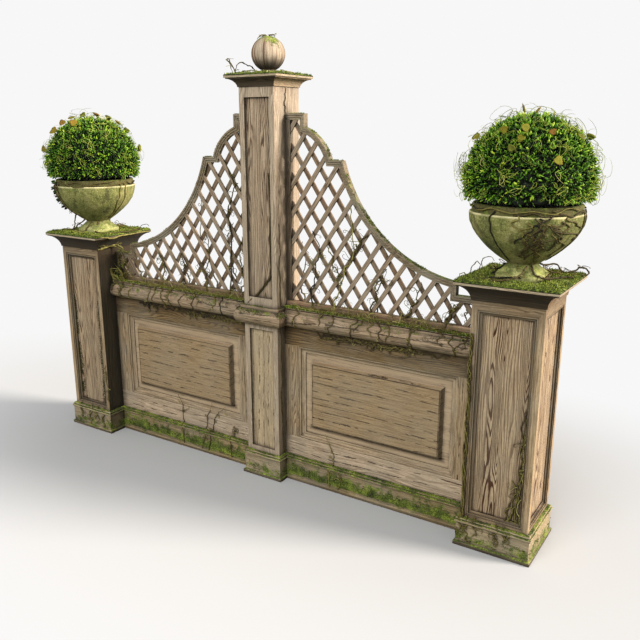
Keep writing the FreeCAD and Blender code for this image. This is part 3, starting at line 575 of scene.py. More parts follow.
def leaves(base, way, across, length, width, bend):
    """Closed lens-shaped leaves. Each is two rings of four corners between a stalk and a tip.

    A corner is base + way * length * t + across * width * w(t) + normal * (thickness and bend * t squared).
    """
    normal = unit(np.cross(way, across))
    across = np.cross(normal, way)
    steps = np.array([0.35, 0.72])
    wide = np.array([0.5, 0.42])
    turn = np.arange(4) * pi / 2
    mid = base[:, None] + way[:, None] * (length[:, None] * steps)[..., None]
    mid = mid + normal[:, None] * (bend[:, None] * length[:, None] * steps ** 2)[..., None]
    flat = across[:, None, None] * np.cos(turn)[None, None, :, None]
    thick = normal[:, None, None] * (0.16 * np.sin(turn))[None, None, :, None]
    rings = mid[:, :, None] + (flat + thick) * (width[:, None] * wide)[..., None, None]
    tip = base + way * length[:, None] + normal * (bend * length)[:, None]
    points = np.concatenate([rings.reshape(len(base), 8, 3), base[:, None], tip[:, None]], 1)
    return points.reshape(-1, 3), repeated(capped(2, 4), len(base), leaf_corners)


def leaf_ball(side, seed, count=12000):
    """Clipped ball: leaves stand in a shell, pointing outwards, upwards and astray, over a dark heart of
    painted shade.

    They are spread by the golden angle from the top down to a level below the middle. The heart is a ball's
    radius with ripples, cut level above the collar.
    """
    inset, shell, swell, lowest = 17, 42, 8, 68
    heart_r, heart_foot = 230, -76
    r = np.random.default_rng(seed)
    middle = np.array([SIDES[side] * pedestal_x, 0, ball_z])
    k = np.arange(count)
    rise = 1 - (1 + (lowest / ball_r)) * (k + 0.5) / count
    spin = k * golden_angle + r.normal(0, 0.5, count)
    flat = np.sqrt(np.maximum(1 - rise ** 2, 0))
    out = np.stack([flat * np.cos(spin), flat * np.sin(spin), rise], -1)
    clump = ripple(out * ball_r, 55, seed) * 0.5
    deep = r.uniform(0, 1, count)
    base = middle + out * (ball_r - inset - shell * deep + swell * clump)[:, None]
    way = unit(out * 0.8 + np.array([0, 0, 0.5]) * rise[:, None] + r.normal(0, 0.5, (count, 3)))
    across = unit(np.cross(way, r.normal(size=(count, 3))))
    length = r.uniform(15, 27, count)
    width = length * r.uniform(0.28, 0.46, count)
    points, faces = leaves(base, way, across, length, width, r.uniform(-0.3, 0.4, count))
    points[:, 2] = np.maximum(points[:, 2], collar_z + 5)
    # Deeper leaves are darker, as painted shade inside the ball; the tone also varies at random and by clump
    tone = 0.58 + 0.17 * r.normal(size=count) - 0.56 * deep + 0.16 * clump
    shade = tone[:, None] + np.array([0.0] * 4 + [0.1] * 4 + [-0.2, 0.2])
    piece(side + "_box_leaves", points, faces, box_leaf, "foliage", shade, stands_for=(side + "_topiary",))
    a = np.linspace(0, 2 * pi, 64, endpoint=False)
    up = np.linspace(np.arcsin(heart_foot / heart_r), 1.5, 26)
    rings = aim(a, up[:, None])
    rings = middle + rings * (214 + 9 * ripple(rings * heart_r, 60, seed + 3))[..., None]
    rings[..., 2] = np.maximum(rings[..., 2], collar_z + 0.5)
    # The heart's low shade value makes it dark: painted shade deep inside the bush
    ringed(side + "_box_heart", rings, box_leaf, "foliage", -0.3)


def round_leaves(name, middle, normal, size, seed):
    """Larger round leaves: a wavy-edged disc of twelve corners, cupped like a shallow bowl, thin as a lens."""
    r = np.random.default_rng(seed)
    count = len(middle)
    normal = unit(normal)
    one = unit(np.cross(normal, r.normal(size=(count, 3))))
    two = np.cross(normal, one)
    a = np.arange(12) * pi / 6
    wave = 1 + 0.16 * np.cos(3 * a + r.uniform(0, 6, (count, 1))) + 0.07 * np.cos(7 * a)
    flat = one[:, None] * np.cos(a)[:, None] + two[:, None] * np.sin(a)[:, None]
    rings = []
    for share, rise in ((0.6, -0.05), (1.0, 0.22), (0.6, 0.06)):
        disc = flat * (share * wave)[..., None] + normal[:, None] * rise
        rings.append(middle[:, None] + disc * size[:, None, None])
    points = with_poles(np.stack(rings, 1))
    shade = r.uniform(0.15, 0.9, count)[:, None] + 0.08 * np.repeat([0, 1, 0, 0], [12, 12, 12, 2])
    faces = repeated(capped(3, 12), count, points.shape[1])
    piece(name, points.reshape(-1, 3), faces, old_leaf, "foliage", shade)


# Moss

def tufts(name, base, normal, length, width, seed, tone=0.5):
    """Moss spikes: three-cornered pyramids that stand along the surface's normal and lean astray."""
    rooted, lowest = 1.5, 0.5
    r = np.random.default_rng(seed)
    count = len(base)
    lean = unit(normal + r.normal(0, 0.4, (count, 3)))
    one = unit(np.cross(normal, r.normal(size=(count, 3))))
    two = np.cross(unit(normal), one)
    turn = np.arange(3) * 2 * pi / 3
    ring = one[:, None] * np.cos(turn)[:, None] + two[:, None] * np.sin(turn)[:, None]
    long = length * r.uniform(0.5, 1.4, count)
    wide = width * r.uniform(0.7, 1.3, count)
    foot = base[:, None] - unit(normal)[:, None] * rooted + ring * wide[:, None, None]
    points = np.concatenate([foot, (base + lean * long[:, None])[:, None]], 1)
    points[..., 2] = np.maximum(points[..., 2], lowest)
    one_tuft = np.array([[0, 2, 1], [0, 1, 3], [1, 2, 3], [2, 0, 3]])
    shade = (tone + 0.16 * r.normal(size=count))[:, None] + np.array([-0.25, -0.25, -0.25, 0.2])
    piece(name, points.reshape(-1, 3), repeated(one_tuft, count, 4), moss_tuft, "foliage", shade, smooth=False)


def carpet(name, x, y, z, high, bare, seed, count, edge=12.0, foot=0.0):
    """Moss on a level board: a height field that dips under the wood where it is bare and at its edges.

    The height is high * (ripples - bare), less near the edges and near a square foot in the middle. A second
    sheet under the wood closes it, and spikes stand on it.
    """
    grid, sunk, deepest = 5, 6, -3.5
    u = np.linspace(x[0], x[1], max(int((x[1] - x[0]) / grid), 8))
    v = np.linspace(y[0], y[1], max(int((y[1] - y[0]) / grid), 8))

    def from_middle(px, py):
        """Distance from the board's middle, measured so that squares lie at one distance."""
        return np.maximum(abs(px - (x[0] + x[1]) / 2), abs(py - (y[0] + y[1]) / 2))

    def height(px, py):
        """Height of the moss over the board, below 0 where the wood is bare."""
        p = np.stack([px, py, 0 * px], -1)
        swell = 0.75 * ripple(p, 90, seed) + 0.5 * ripple(p, 28, seed + 1) + 0.22 * ripple(p, 11, seed + 2)
        rim = np.minimum(np.minimum(px - x[0], x[1] - px), np.minimum(py - y[0], y[1] - py))
        away = from_middle(px, py) - foot
        low = np.clip(rim / edge, 0, 1) * (np.clip(away / 40, 0.15, 1) if foot else 1.0)
        return np.minimum(high * (0.55 + 0.5 * swell - bare), high * 1.3) * low - 1.5 * (rim < edge / 4)

    U, W = np.meshgrid(u, v, indexing="ij")
    top = np.stack([U, W, z + np.maximum(height(U, W), deepest)], -1)
    under = np.stack([U, W, 0 * U + z - sunk], -1)
    rows, columns = U.shape
    sheet = lattice(rows, columns, False)
    edge_line = np.concatenate([np.arange(columns), np.arange(1, rows) * columns + columns - 1,
                                (rows - 1) * columns + np.arange(columns - 2, -1, -1),
                                np.arange(rows - 2, 0, -1) * columns])
    after = np.roll(edge_line, -1)
    half = rows * columns
    walls = np.concatenate([np.stack([edge_line, half + edge_line, half + after], -1),
                            np.stack([edge_line, half + after, after], -1)])
    points = np.concatenate([top.reshape(-1, 3), under.reshape(-1, 3)])
    faces = np.concatenate([sheet[:, ::-1], sheet + half, walls[:, ::-1]])
    shade = np.concatenate([0.42 + 0.25 * ripple(top.reshape(-1, 3), 14, seed + 5), np.zeros(half)])
    piece(name + "_cushion", points, faces, moss_tuft, "foliage", shade)
    r = np.random.default_rng(seed)
    px, py = r.uniform(*x, count), r.uniform(*y, count)
    h = height(px, py)
    keep = (h > -0.5) & (from_middle(px, py) > foot)
    base = np.stack([px, py, z + np.maximum(h, 0)], -1)[keep]
    tufts(name + "_tufts", base, np.tile([0.0, 0.0, 1.0], (len(base), 1)), 7.0, 2.2, seed + 9)


def seats(name, count, seed, pick):
    """Scattered places on a solid's faces, by area, where pick of the faces' normals and middles is true."""
    mesh = nodes[name].data
    mesh.calc_loop_triangles()
    corner = np.empty(3 * len(mesh.loop_triangles), np.int32)
    mesh.loop_triangles.foreach_get("vertices", corner)
    place = np.empty(3 * len(mesh.vertices), np.float32)
    mesh.vertices.foreach_get("co", place)
    a, b, c = np.moveaxis(place.reshape(-1, 3)[corner].reshape(-1, 3, 3) * METRE, 1, 0)
    cross = np.cross(b - a, c - a)
    area = np.linalg.norm(cross, axis=1)
    normal = cross / np.maximum(area, 1e-9)[:, None]
    weight = area * pick(normal, (a + b + c) / 3)
    r = np.random.default_rng(seed)
    k = r.choice(len(area), count, p=weight / weight.sum())
    u, v = np.sqrt(r.uniform(0, 1, count))[:, None], r.uniform(0, 1, count)[:, None]
    return a[k] * (1 - u) + b[k] * u * (1 - v) + c[k] * u * v, normal[k]


def level_faces(normal, middle):
    """Faces that moss finds level enough."""
    return normal[:, 2] > 0.35


def skirting_faces(normal, middle):
    """Faces that look up, and upright ones above the foot fillet."""
    return (normal[:, 2] > 0.3) | (np.abs(normal[:, 2]) < 0.1) & (middle[:, 2] > 20)


def slab_edges(normal, middle):
    """Faces round a cap board, not its top or its underside."""
    return (normal[:, 2] > -0.5) & (normal[:, 2] < 0.8)


def moss_on_solids():
    """Short moss in clumps: on skirtings, on what lies level on the trellis heads, on the sills and the rails.

    Each row is a solid, the count of places tried, the faces, the ripple below which wood is bare, and the
    spikes' length.
    """
    each_side = (
        ("bay_plinth", 14000, skirting_faces, -0.1, 5.0), ("pedestal_plinth", 4500, skirting_faces, 0.15, 5.0),
        ("pedestal_cap_slab", 1200, slab_edges, 0.45, 6.0), ("trellis_sweep", 1600, level_faces, 0.25, 5.0),
        ("trellis_shoulder", 700, level_faces, 0.1, 5.0), ("trellis_end", 300, level_faces, 0.2, 5.0),
        ("trellis_sill", 1200, level_faces, 0.3, 4.0), ("bay_rail", 2600, level_faces, 0.35, 4.0),
        ("trellis_crest", 200, level_faces, 0.2, 5.0))
    rows = [(side + "_" + kind, *rest) for side in SIDES for kind, *rest in each_side]
    rows += [("centre_plinth", 2000, skirting_faces, 0.3, 5.0), ("centre_rail", 1600, level_faces, 0.1, 6.0)]
    for k, (name, count, pick, bare, length) in enumerate(rows):
        base, normal = seats(name, count, 161 + k, pick)
        thick = 0.8 * ripple(base, 110, 201 + k) + 0.5 * ripple(base, 34, 231 + k)
        z, up = base[:, 2], normal[:, 2] > 0.3
        keep = (thick > bare) & ((z > 26 + 14 * ripple(base, 60, 291 + k)) | up)
        keep &= (z > 24) & (up | (z < 74 + 9 * ripple(base, 50, 321 + k)))
        tone = 0.27 if "plinth" in name else 0.42
        tufts(name + "_moss", base[keep], normal[keep], length, 1.9, 261 + k, tone)


def recess_moss():
    """Dark moss in the upright corners of the left front recess and, half a turn round, of the right back one.

    A tuft's place from the corner is a normal draw whose width falls with the height. Their dark tone is
    partly painted shade in the corners.
    """
    count, corner_x = 2600, 107
    r = np.random.default_rng(341)
    z = 156 + 640 * r.uniform(0, 1, count) ** 1.3
    corner = r.choice([-1, 1], count, p=[0.65, 0.35])
    x = corner * (corner_x - np.abs(r.normal(0, 1, count)) * (19 - 0.016 * z)) - pedestal_x
    base = np.stack([x, 0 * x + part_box("left_pedestal_panels")[0][1] * METRE, z], -1)
    base = base[ripple(base, 80, 342) > -0.5]
    facing = np.tile([0.0, -1.0, 0.0], (len(base), 1))
    # Tone 0.13 makes the moss very dark: partly painted shade in the recess's corners
    tufts("recess_moss", both_faces(base), np.concatenate([facing, -facing]), 5.0, 2.4, 343, 0.13)


# Creepers

FRONT = ((1, 0, 0), (0, 0, 1), (0, -1, 0))
BACK = ((1, 0, 0), (0, 0, 1), (0, 1, 0))
TOP = ((1, 0, 0), (0, 1, 0), (0, 0, 1))


def curve(corners, steps=40):
    """A smooth path through corners: cubic pieces, with half the neighbours' difference as slope at each."""
    p = np.asarray(corners, float)
    q = np.concatenate([[2 * p[0] - p[1]], p, [2 * p[-1] - p[-2]]])
    u = np.linspace(0, len(p) - 1, steps)
    k = np.minimum(u.astype(int), len(p) - 2)
    f = (u - k)[:, None]
    a, b, c, d = q[k], q[k + 1], q[k + 2], q[k + 3]
    return b + 0.5 * f * (c - a + f * (2 * a - 5 * b + 4 * c - d + f * (3 * (b - c) + d - a)))


def shaken(paths, amount, waves, keep, seed):
    """Paths shaken by sine waves of their length along the axes in keep, not at their start."""
    r = np.random.default_rng(seed)
    s = np.linspace(0, 1, paths.shape[1])
    moved = 0
    for share in (1.0, 2.3, 4.1):
        phase = r.uniform(0, 2 * pi, (len(paths), 1, 3))
        moved = moved + np.sin(s[None, :, None] * 2 * pi * waves * share + phase) / share
    return paths + moved * amount * np.array(keep) * np.clip(s * 8, 0, 1)[None, :, None]


def curls(start, angle, length, bend, flat, seed, lift=6.0):
    """Tendrils: the heading turns ever faster along each path, in a plane of two axes, with a hump off it."""
    r = np.random.default_rng(seed)
    steps = 26
    s = np.linspace(0, 1, steps)
    turn = angle[:, None] + bend[:, None] * s ** 2.2 + 0.5 * np.sin(9 * s + r.uniform(0, 6, (len(start), 1)))
    step = np.stack([np.cos(turn), np.sin(turn)], -1) * (length[:, None] / steps)[..., None]
    way = np.cumsum(step, 1) - step[:, :1]
    e1, e2, e3 = (np.array(v, float) for v in flat)
    hump = (np.sin(pi * s) * lift * r.uniform(0.3, 1, (len(start), 1)))[..., None]
    return start[:, None] + way[..., :1] * e1 + way[..., 1:] * e2 + hump * e3


def stems(name, paths, thick, aside, seed, tone=0.45, taper=0.5, finish=creeper_bark):
    """Round stems along paths: rings of six corners about the path, thinner to the tip, knotted by ripples."""
    r = np.random.default_rng(seed)
    ahead = unit(np.gradient(paths, axis=1))
    out = unit(np.cross(ahead, np.array(aside, float) + r.normal(0, 0.05, (len(paths), 1, 3))))
    up = np.cross(ahead, out)
    turn = np.arange(6) * pi / 3
    s = np.linspace(0, 1, paths.shape[1])
    radius = thick / 2 * (1 - taper * s) * (1 + 0.18 * ripple(paths, 14, seed))
    paths = np.concatenate([paths[..., :2], np.maximum(paths[..., 2:], thick)], -1)
    radius[:, -1] *= 0.3
    rings = out[:, :, None] * np.cos(turn)[:, None] + up[:, :, None] * np.sin(turn)[:, None]
    points = with_poles(paths[:, :, None] + rings * radius[..., None, None])
    shade = (tone + 0.14 * r.normal(size=len(paths)))[:, None] + 0 * points[..., 0]
    faces = repeated(capped(paths.shape[1], 6), len(paths), points.shape[1])
    piece(name, points.reshape(-1, 3), faces, finish, "foliage", shade)


def runners(x, y, z, count, seed, wave, least=180.0, most=520.0):
    """Stems that run along the screen and wind about a line, each over a part of it. wave is (through, up)."""
    r = np.random.default_rng(seed)
    length = r.uniform(least, most, count)
    start = r.uniform(0, 1, count) * (x[1] - x[0] - length) + x[0]
    corners = np.stack([start[:, None] + length[:, None] * np.linspace(0, 1, 10) + r.normal(0, 8, (count, 10)),
                        y + wave[0] * r.normal(size=(count, 10)), z + wave[1] * r.normal(size=(count, 10))], -1)
    return np.array([curve(c, 60) for c in corners])


def tendrils(paths, each, flat, length, seed, lift=6.0, heading=0.0, spread=3.2):
    """Curling side shoots from scattered places along paths, which set out within spread of a heading."""
    r = np.random.default_rng(seed)
    count = len(paths) * each
    row = np.repeat(np.arange(len(paths)), each)
    start = paths[row, r.integers(3, paths.shape[1] - 3, count)]
    bend = r.uniform(2.5, 8.0, count) * r.choice([-1, 1], count)
    angle = heading + r.uniform(-spread, spread, count)
    return curls(start, angle, r.uniform(0.4, 1.3, count) * length, bend, flat, seed, lift)


def climb(corner_lists, seed, amount=5.0, keep=(1, 0.2, 1)):
    """Stems through the corners given."""
    return shaken(np.array([curve(c, 56) for c in corner_lists]), amount, 3.0, keep, seed)


def braid(corners, strands, wide, turns, seed):
    """Strands that wind about one path: each swings aside and out from the face, a share of a turn apart."""
    path = curve(corners, 150)
    s = np.linspace(0, 1, 150)
    angle = 2 * pi * (turns * s + np.arange(strands)[:, None] / strands)
    swing = np.stack([wide * np.cos(angle), -0.5 * wide * (1 + np.sin(angle)), 0 * angle], -1)
    return shaken(path + swing, 2.0, 6.0, (1, 0, 0), seed)


def turned_round(paths):
    """The same paths on the back, half a turn round the centre post."""
    return paths * np.array([-1, -1, 1])


def both_faces(paths):
    """The paths given, and the same on the back."""
    return np.concatenate([paths, turned_round(paths)])


def rail_hangers(x, seed):
    """Stems that creep over the ledge's edge and down round the half-round rail, touching it all the way."""
    r = np.random.default_rng(seed)
    way = np.array([(-22, 915), (-44, 916), (-56.5, 912.5), (-57, 897), (-75, 881), (-82.5, 857), (-75, 833),
                    (-58, 818), (-44, 812)], float)
    paths = []
    for place in x:
        stop = r.integers(6, 10)
        paths.append(curve(np.concatenate([place + np.cumsum(r.normal(0, 13, (stop, 1)), 0), way[:stop]], 1)))
    return shaken(np.array(paths), 6.0, 2.2, (1, 0, 0), seed)


def rails_and_ledges():
    """Hangers on both rails, runners on the ledges with arching shoots, a dark tangle under the rails."""
    under_y, under_z, under_top = -43.5, 800, 814
    places = np.array([-814, -768, -657, -616, -557, -466, -423, -905, -1010, -1060, -260, -330, -700, -150,
                       499, 588, 634, 669, 719, 792, 835, 996, 1032, 210, 300, 380, 905, 1070, -1093, -1082,
                       -1074.0])
    hangers = rail_hangers(places, 71)
    back = turned_round(rail_hangers(np.linspace(-1000, 1000, 14), 73))
    stems("creeper_rail_hangers", np.concatenate([hangers, back]), 5.0, (1, 0, 0), 74, 0.4, 0.35)
    along = np.concatenate([runners(x, -38, ledge_z + 8, 16, 75 + k, (9.0, 3.5))
                            for k, x in enumerate(((-1095, -110), (110, 1095)))])
    behind = turned_round(along[::3])
    stems("creeper_ledge_runners", np.concatenate([along, behind]), 4.0, (0, 0, 1), 78, 0.5)
    under = np.concatenate([runners(x, under_y, under_z, 20, 79 + k, (1.2, 8.0), 90, 260)
                            for k, x in enumerate(((-900, -120), (250, 1000)))])
    under[..., 2] = np.minimum(under[..., 2], under_top)
    stems("creeper_under_rail", under, 5.0, (0, 1, 0), 81, 0.24)
    shoots = np.concatenate([tendrils(along, 6, FRONT, 75, 82, 10.0, pi / 2, 1.1),
                             tendrils(hangers, 2, FRONT, 45, 83, 8.0),
                             tendrils(behind, 4, BACK, 75, 84, 10.0, pi / 2, 1.1)])
    stems("creeper_rail_shoots", shoots, 2.6, (0, 1, 0), 85, 0.6)
    hanging = tendrils(under, 3, FRONT, 40, 86, 3.0, -pi / 2, 1.0)
    stems("creeper_under_rail_shoots", hanging, 2.6, (0, 1, 0), 87, 0.45)


def lattice_climbers():
    """Stems that lie against the front of the laths, from the sill up, with curling shoots between them.

    At the left end of the trellis a bunch of shoots and narrow leaves rises from the ledge.
    """
    y, end_wall = -13.0, -1098
    main = [[(447, y, 1426), (469, y, 1319), (461, y, 1171), (421, y, 1106), (381, y, 976), (372, y - 4, 920)],
            [(544, y, 1306), (500, y, 1250), (486, y, 1233), (461, y, 1162)],
            [(640, y, 1150), (615, y, 1080), (590, y, 1010), (560, y - 4, 920)],
            [(820, y, 1120), (800, y, 1040), (770, y, 980), (730, y - 4, 920)],
            [(250, y, 1300), (285, y, 1200), (262, y, 1080), (240, y, 990), (252, y - 4, 920)],
            [(330, y, 1260), (355, y, 1170), (385, y, 1110), (420, y, 1090)],
            [(980, y, 1030), (955, y, 985), (930, y - 4, 920)],
            [(-281, y, 1611), (-215, y, 1500), (-203, y, 1487), (-261, y, 1335), (-240, y, 1180),
             (-262, y - 4, 920)],
            [(-180, y, 1240), (-190, y, 1100), (-170, y, 1010), (-186, y - 4, 920)],
            [(-420, y, 1240), (-395, y, 1130), (-430, y, 1020), (-415, y - 4, 920)],
            [(-600, y, 1110), (-575, y, 1040), (-590, y, 970), (-570, y - 4, 920)],
            [(-760, y, 1090), (-730, y, 1020), (-742, y - 4, 920)],
            [(-1040, y, 1040), (-1015, y, 1000), (-1030, y - 6, 940), (-1020, y - 20, 915)],
            [(-1070, y, 1060), (-1045, y, 990), (-1060, y - 14, 915)]]
    paths = climb([c[::-1] for c in main], 91, 6.0)
    behind = turned_round(paths[::2])
    stems("creeper_lattice", np.concatenate([paths, behind]), 8.5, (0, 1, 0), 93, 0.36)
    shoots = np.concatenate([tendrils(paths, 10, FRONT, 90, 94, 9.0), tendrils(behind, 6, BACK, 90, 95, 9.0)])
    stems("creeper_lattice_shoots", shoots, 3.2, (0, 1, 0), 96, 0.48)
    r = np.random.default_rng(97)
    count = 16
    start = np.stack([r.uniform(-1095, -1020, count), r.uniform(-52, -20, count),
                      np.full(count, ledge_z + 2)], -1)
    angle, length = r.uniform(0.9, 2.2, count), r.uniform(70, 190, count)
    bend = r.uniform(2, 7, count) * r.choice([-1, 1], count)
    end = curls(start, angle, length, bend, FRONT, 98, 22.0)
    end[..., 0] = np.maximum(end[..., 0], end_wall)
    stems("creeper_left_end", end, 4.0, (0, 1, 0), 99, 0.6)
    count = 60
    base = np.stack([r.uniform(-1096, -1040, count), r.uniform(-44, -14, count),
                     ledge_z + 90 * r.uniform(0, 1, count) ** 1.8], -1)
    way = unit(np.array([0.35, -0.5, 0.9]) + r.normal(0, 0.45, (count, 3)))
    length = r.uniform(14, 34, count)
    across = unit(np.cross(way, r.normal(size=(count, 3))))
    points, faces = leaves(base, way, across, length, length * 0.24, r.uniform(-0.4, 0.4, count))
    points[:, 0] = np.maximum(points[:, 0], end_wall - 2)
    shade = np.repeat(r.uniform(0.05, 0.75, count), leaf_corners)
    piece("left_end_leaves", points, faces, moss_tuft, "foliage", shade)


def post_climbers():
    """Stems up the wall's foot, the centre post and the right pedestal, each against the face that it climbs.

    Twigs hang from the top bead of the pedestals' skirtings over the board below it.
    """
    wall, skirt, foot, bead, panel, stile = -43.0, -57.0, -165.0, -155.0, -136.0, -151.0
    post_side, post_face = 103, -93
    low = [[(-602, skirt, 8), (-610, skirt, 120), (-612, wall, 150), (-617, wall, 241), (-643, wall, 308)],
           [(-470, skirt, 8), (-446, skirt, 92), (-440, wall, 150), (-425, wall, 218), (-391, wall, 308)],
           [(-420, skirt, 8), (-400, skirt, 110), (-392, wall, 159), (-359, wall, 241), (-293, wall, 300)],
           [(372, skirt, 8), (377, skirt, 108), (392, wall, 150), (380, wall, 210), (335, wall, 298)],
           [(-250, skirt, 8), (-262, skirt, 120), (-240, wall, 150), (-228, wall, 190)],
           [(420, skirt, 8), (440, skirt, 80), (410, skirt, 118)],
           [(1318, panel, 156), (1320, panel, 197), (1350, panel, 299), (1357, panel, 440), (1350, panel, 547),
            (1361, panel, 707)],
           [(1340, panel, 156), (1338, panel, 260), (1362, panel, 380), (1342, panel, 470), (1352, panel, 600)],
           [(1300, panel, 156), (1330, panel, 230), (1345, panel, 350), (1366, panel, 430)],
           [(1104, bead, 146), (1098, foot, 120), (1112, foot, 92), (1098, foot, 62), (1110, foot, 36)],
           [(1130, bead, 146), (1142, foot, 116), (1126, foot, 88), (1144, foot, 56), (1130, foot, 30)],
           [(1172, bead, 146), (1164, foot, 112), (1184, foot, 84), (1168, foot, 56)],
           [(1262, bead, 146), (1274, foot, 118), (1256, foot, 92), (1282, foot, 68), (1268, foot, 44)],
           [(1300, bead, 146), (1294, foot, 112), (1316, foot, 96), (1300, foot, 74)],
           [(-1342, bead, 146), (-1350, foot, 112), (-1330, foot, 84), (-1346, foot, 50)],
           [(-1262, bead, 146), (-1248, foot, 108), (-1274, foot, 80), (-1256, foot, 46), (-1268, foot, 22)],
           [(-1202, bead, 146), (-1214, foot, 104), (-1190, foot, 70), (-1206, foot, 36)],
           [(-1150, bead, 146), (-1136, foot, 110), (-1162, foot, 78), (-1142, foot, 44), (-1156, foot, 18)],
           [(-1100, stile, 140), (-1108, stile, 300), (-1112, stile, 420)]]
    centre = [[(post_side, -70, 918), (post_side, -78, 1109), (post_side, -70, 1210), (post_side, -80, 1330)],
              [(post_side, -14, 1830), (post_side, -20, 1870), (post_side, -12, 1910), (post_side, -9, 1940)],
              [(post_side, -60, 140), (post_side, -72, 400), (post_side, -66, 620), (post_side, -74, 800)],
              [(-post_side, -60, 930), (-post_side, -72, 1150), (-post_side, -64, 1380)]]
    front = climb(low, 101, 3.5, (1, 0, 1))
    back = turned_round(front)
    both = np.concatenate([front, back, climb(centre, 102, 3.5, (0, 1, 1))])
    stems("creeper_posts", both, 4.4, (0.3, 1, 0.02), 103, 0.5)
    shoots = np.concatenate([tendrils(front, 6, FRONT, 60, 104, 3.0), tendrils(back, 4, BACK, 60, 105, 3.0)])
    stems("creeper_post_shoots", shoots, 2.6, (0, 1, 0), 106, 0.55)
    panels = [[(1290, panel, 156), (1312, panel, 230), (1336, panel, 330), (1350, panel, 440),
               (1340, panel, 560), (1352, panel, 680)],
              [(1360, panel, 156), (1348, panel, 240), (1366, panel, 330), (1352, panel, 430),
               (1362, panel, 540)],
              [(1310, panel, 156), (1300, panel, 210), (1330, panel, 280), (1322, panel, 350)],
              [(1352, panel, 156), (1366, panel, 260), (1344, panel, 350), (1360, panel, 470),
               (1352, panel, 620), (1364, panel, 760)]]
    panels = climb(panels, 112, 6.0, (1, 0, 1))
    stems("creeper_panel", both_faces(panels), 5.0, (0.3, 1, 0.02), 113, 0.48, 0.4)
    rope = braid([(1111, stile, 10), (1113, stile, 168), (1110, stile, 432), (1112, stile, 681),
                  (1108, stile, 803), (1112, stile, 960)], 3, 6.0, 9, 107)
    stems("creeper_pedestal_rope", both_faces(rope), 7.0, (0, 1, 0.1), 110, 0.52, 0.3)
    rope = braid([(-100, -84, 893), (-70, -96, 930), (-21, post_face, 971), (30, post_face, 1030),
                  (62, post_face, 1086), (60, post_face, 1246), (66, post_face, 1400), (56, post_face, 1560)],
                 2, 3.5, 7, 108)
    stems("creeper_post_rope", both_faces(rope), 6.0, (0, 1, 0.1), 109, 0.36, 0.5)


def bowl_place(turn, z):
    """A place on the bowl or the collar at an angle round the urn's axis and a height."""
    collar_reach, stand_off = 216.0, 2.5
    fall = np.clip((bowl_z - z) / (bowl_z - neck_z), 0, 1)
    r = np.where(z > rim_z, collar_reach, bowl_r - (bowl_r - neck_r) * fall ** 2 + stand_off)
    return np.stack([r * np.cos(turn), r * np.sin(turn), z], -1)


def urn_nets():
    """Stems that hang from the collar and cling to the bowl, a tangle on one side, ropes round the collar.

    A knot is the tangle's angle round the bowl, its count of stems and its spread. Small leaves hang in the
    left one.
    """
    lowest = 1252
    knots = {"left": (-2.25, 14, 0.1), "right": (-1.0, 20, 0.2)}
    r = np.random.default_rng(111)
    for side, s in SIDES.items():
        middle = np.array([s * pedestal_x, 0, 0])
        angle, knotted, spread = knots[side]
        turn = np.concatenate([r.normal(angle, spread, knotted), [-1.8, 0.14, 0.0, 2.4, 3.0, 1.4]])
        count = len(turn)
        in_knot = np.arange(count) < knotted
        top = np.where(in_knot, r.uniform(1360, 1470, count), 1462)
        fall = np.where(in_knot, r.uniform(60, 150, count), 205)
        drop = np.maximum(top[:, None] - fall[:, None] * np.linspace(0, 1, 9), lowest)
        sway = np.where(in_knot, 0.1, 0.03)[:, None]
        lines = turn[:, None] + np.cumsum(r.normal(0, 1, (count, 9)) * sway, 1)
        net = np.array([curve(bowl_place(a, z), 44) for a, z in zip(lines, drop)])
        rope = []
        for a0, a1, z in ((-2.3, -0.2, 1466), (-1.5, 0.4, 1456), (0.2, 2.4, 1462), (2.4, 4.2, 1465)):
            a = np.linspace(a0, a1, 12)
            rope.append(curve(bowl_place(a, z + r.normal(0, 6, 12)) * np.array([1.012, 1.012, 1]), 44))
        net = np.concatenate([net, rope])
        stems(side + "_urn_net", net + middle, 6.5, (0.3, 0.2, 1), 114 + s, 0.34, 0.3)
    count = 70
    turn, z = r.normal(-2.25, 0.16, count), r.uniform(1290, 1478, count)
    out = np.stack([np.cos(turn), np.sin(turn), -0.4 + 0 * turn], -1)
    way = unit(out * 0.5 + r.normal(0, 0.6, (count, 3)))
    length = r.uniform(12, 28, count)
    base = bowl_place(turn, z) + np.array([-pedestal_x, 0, 0])
    across = unit(np.cross(way, out))
    points, faces = leaves(base, way, across, length, length * 0.5, r.uniform(-0.2, 0.3, count))
    shade = np.repeat(r.uniform(0.0, 0.4, count), leaf_corners)
    piece("left_urn_leaves", points, faces, box_leaf, "foliage", shade)


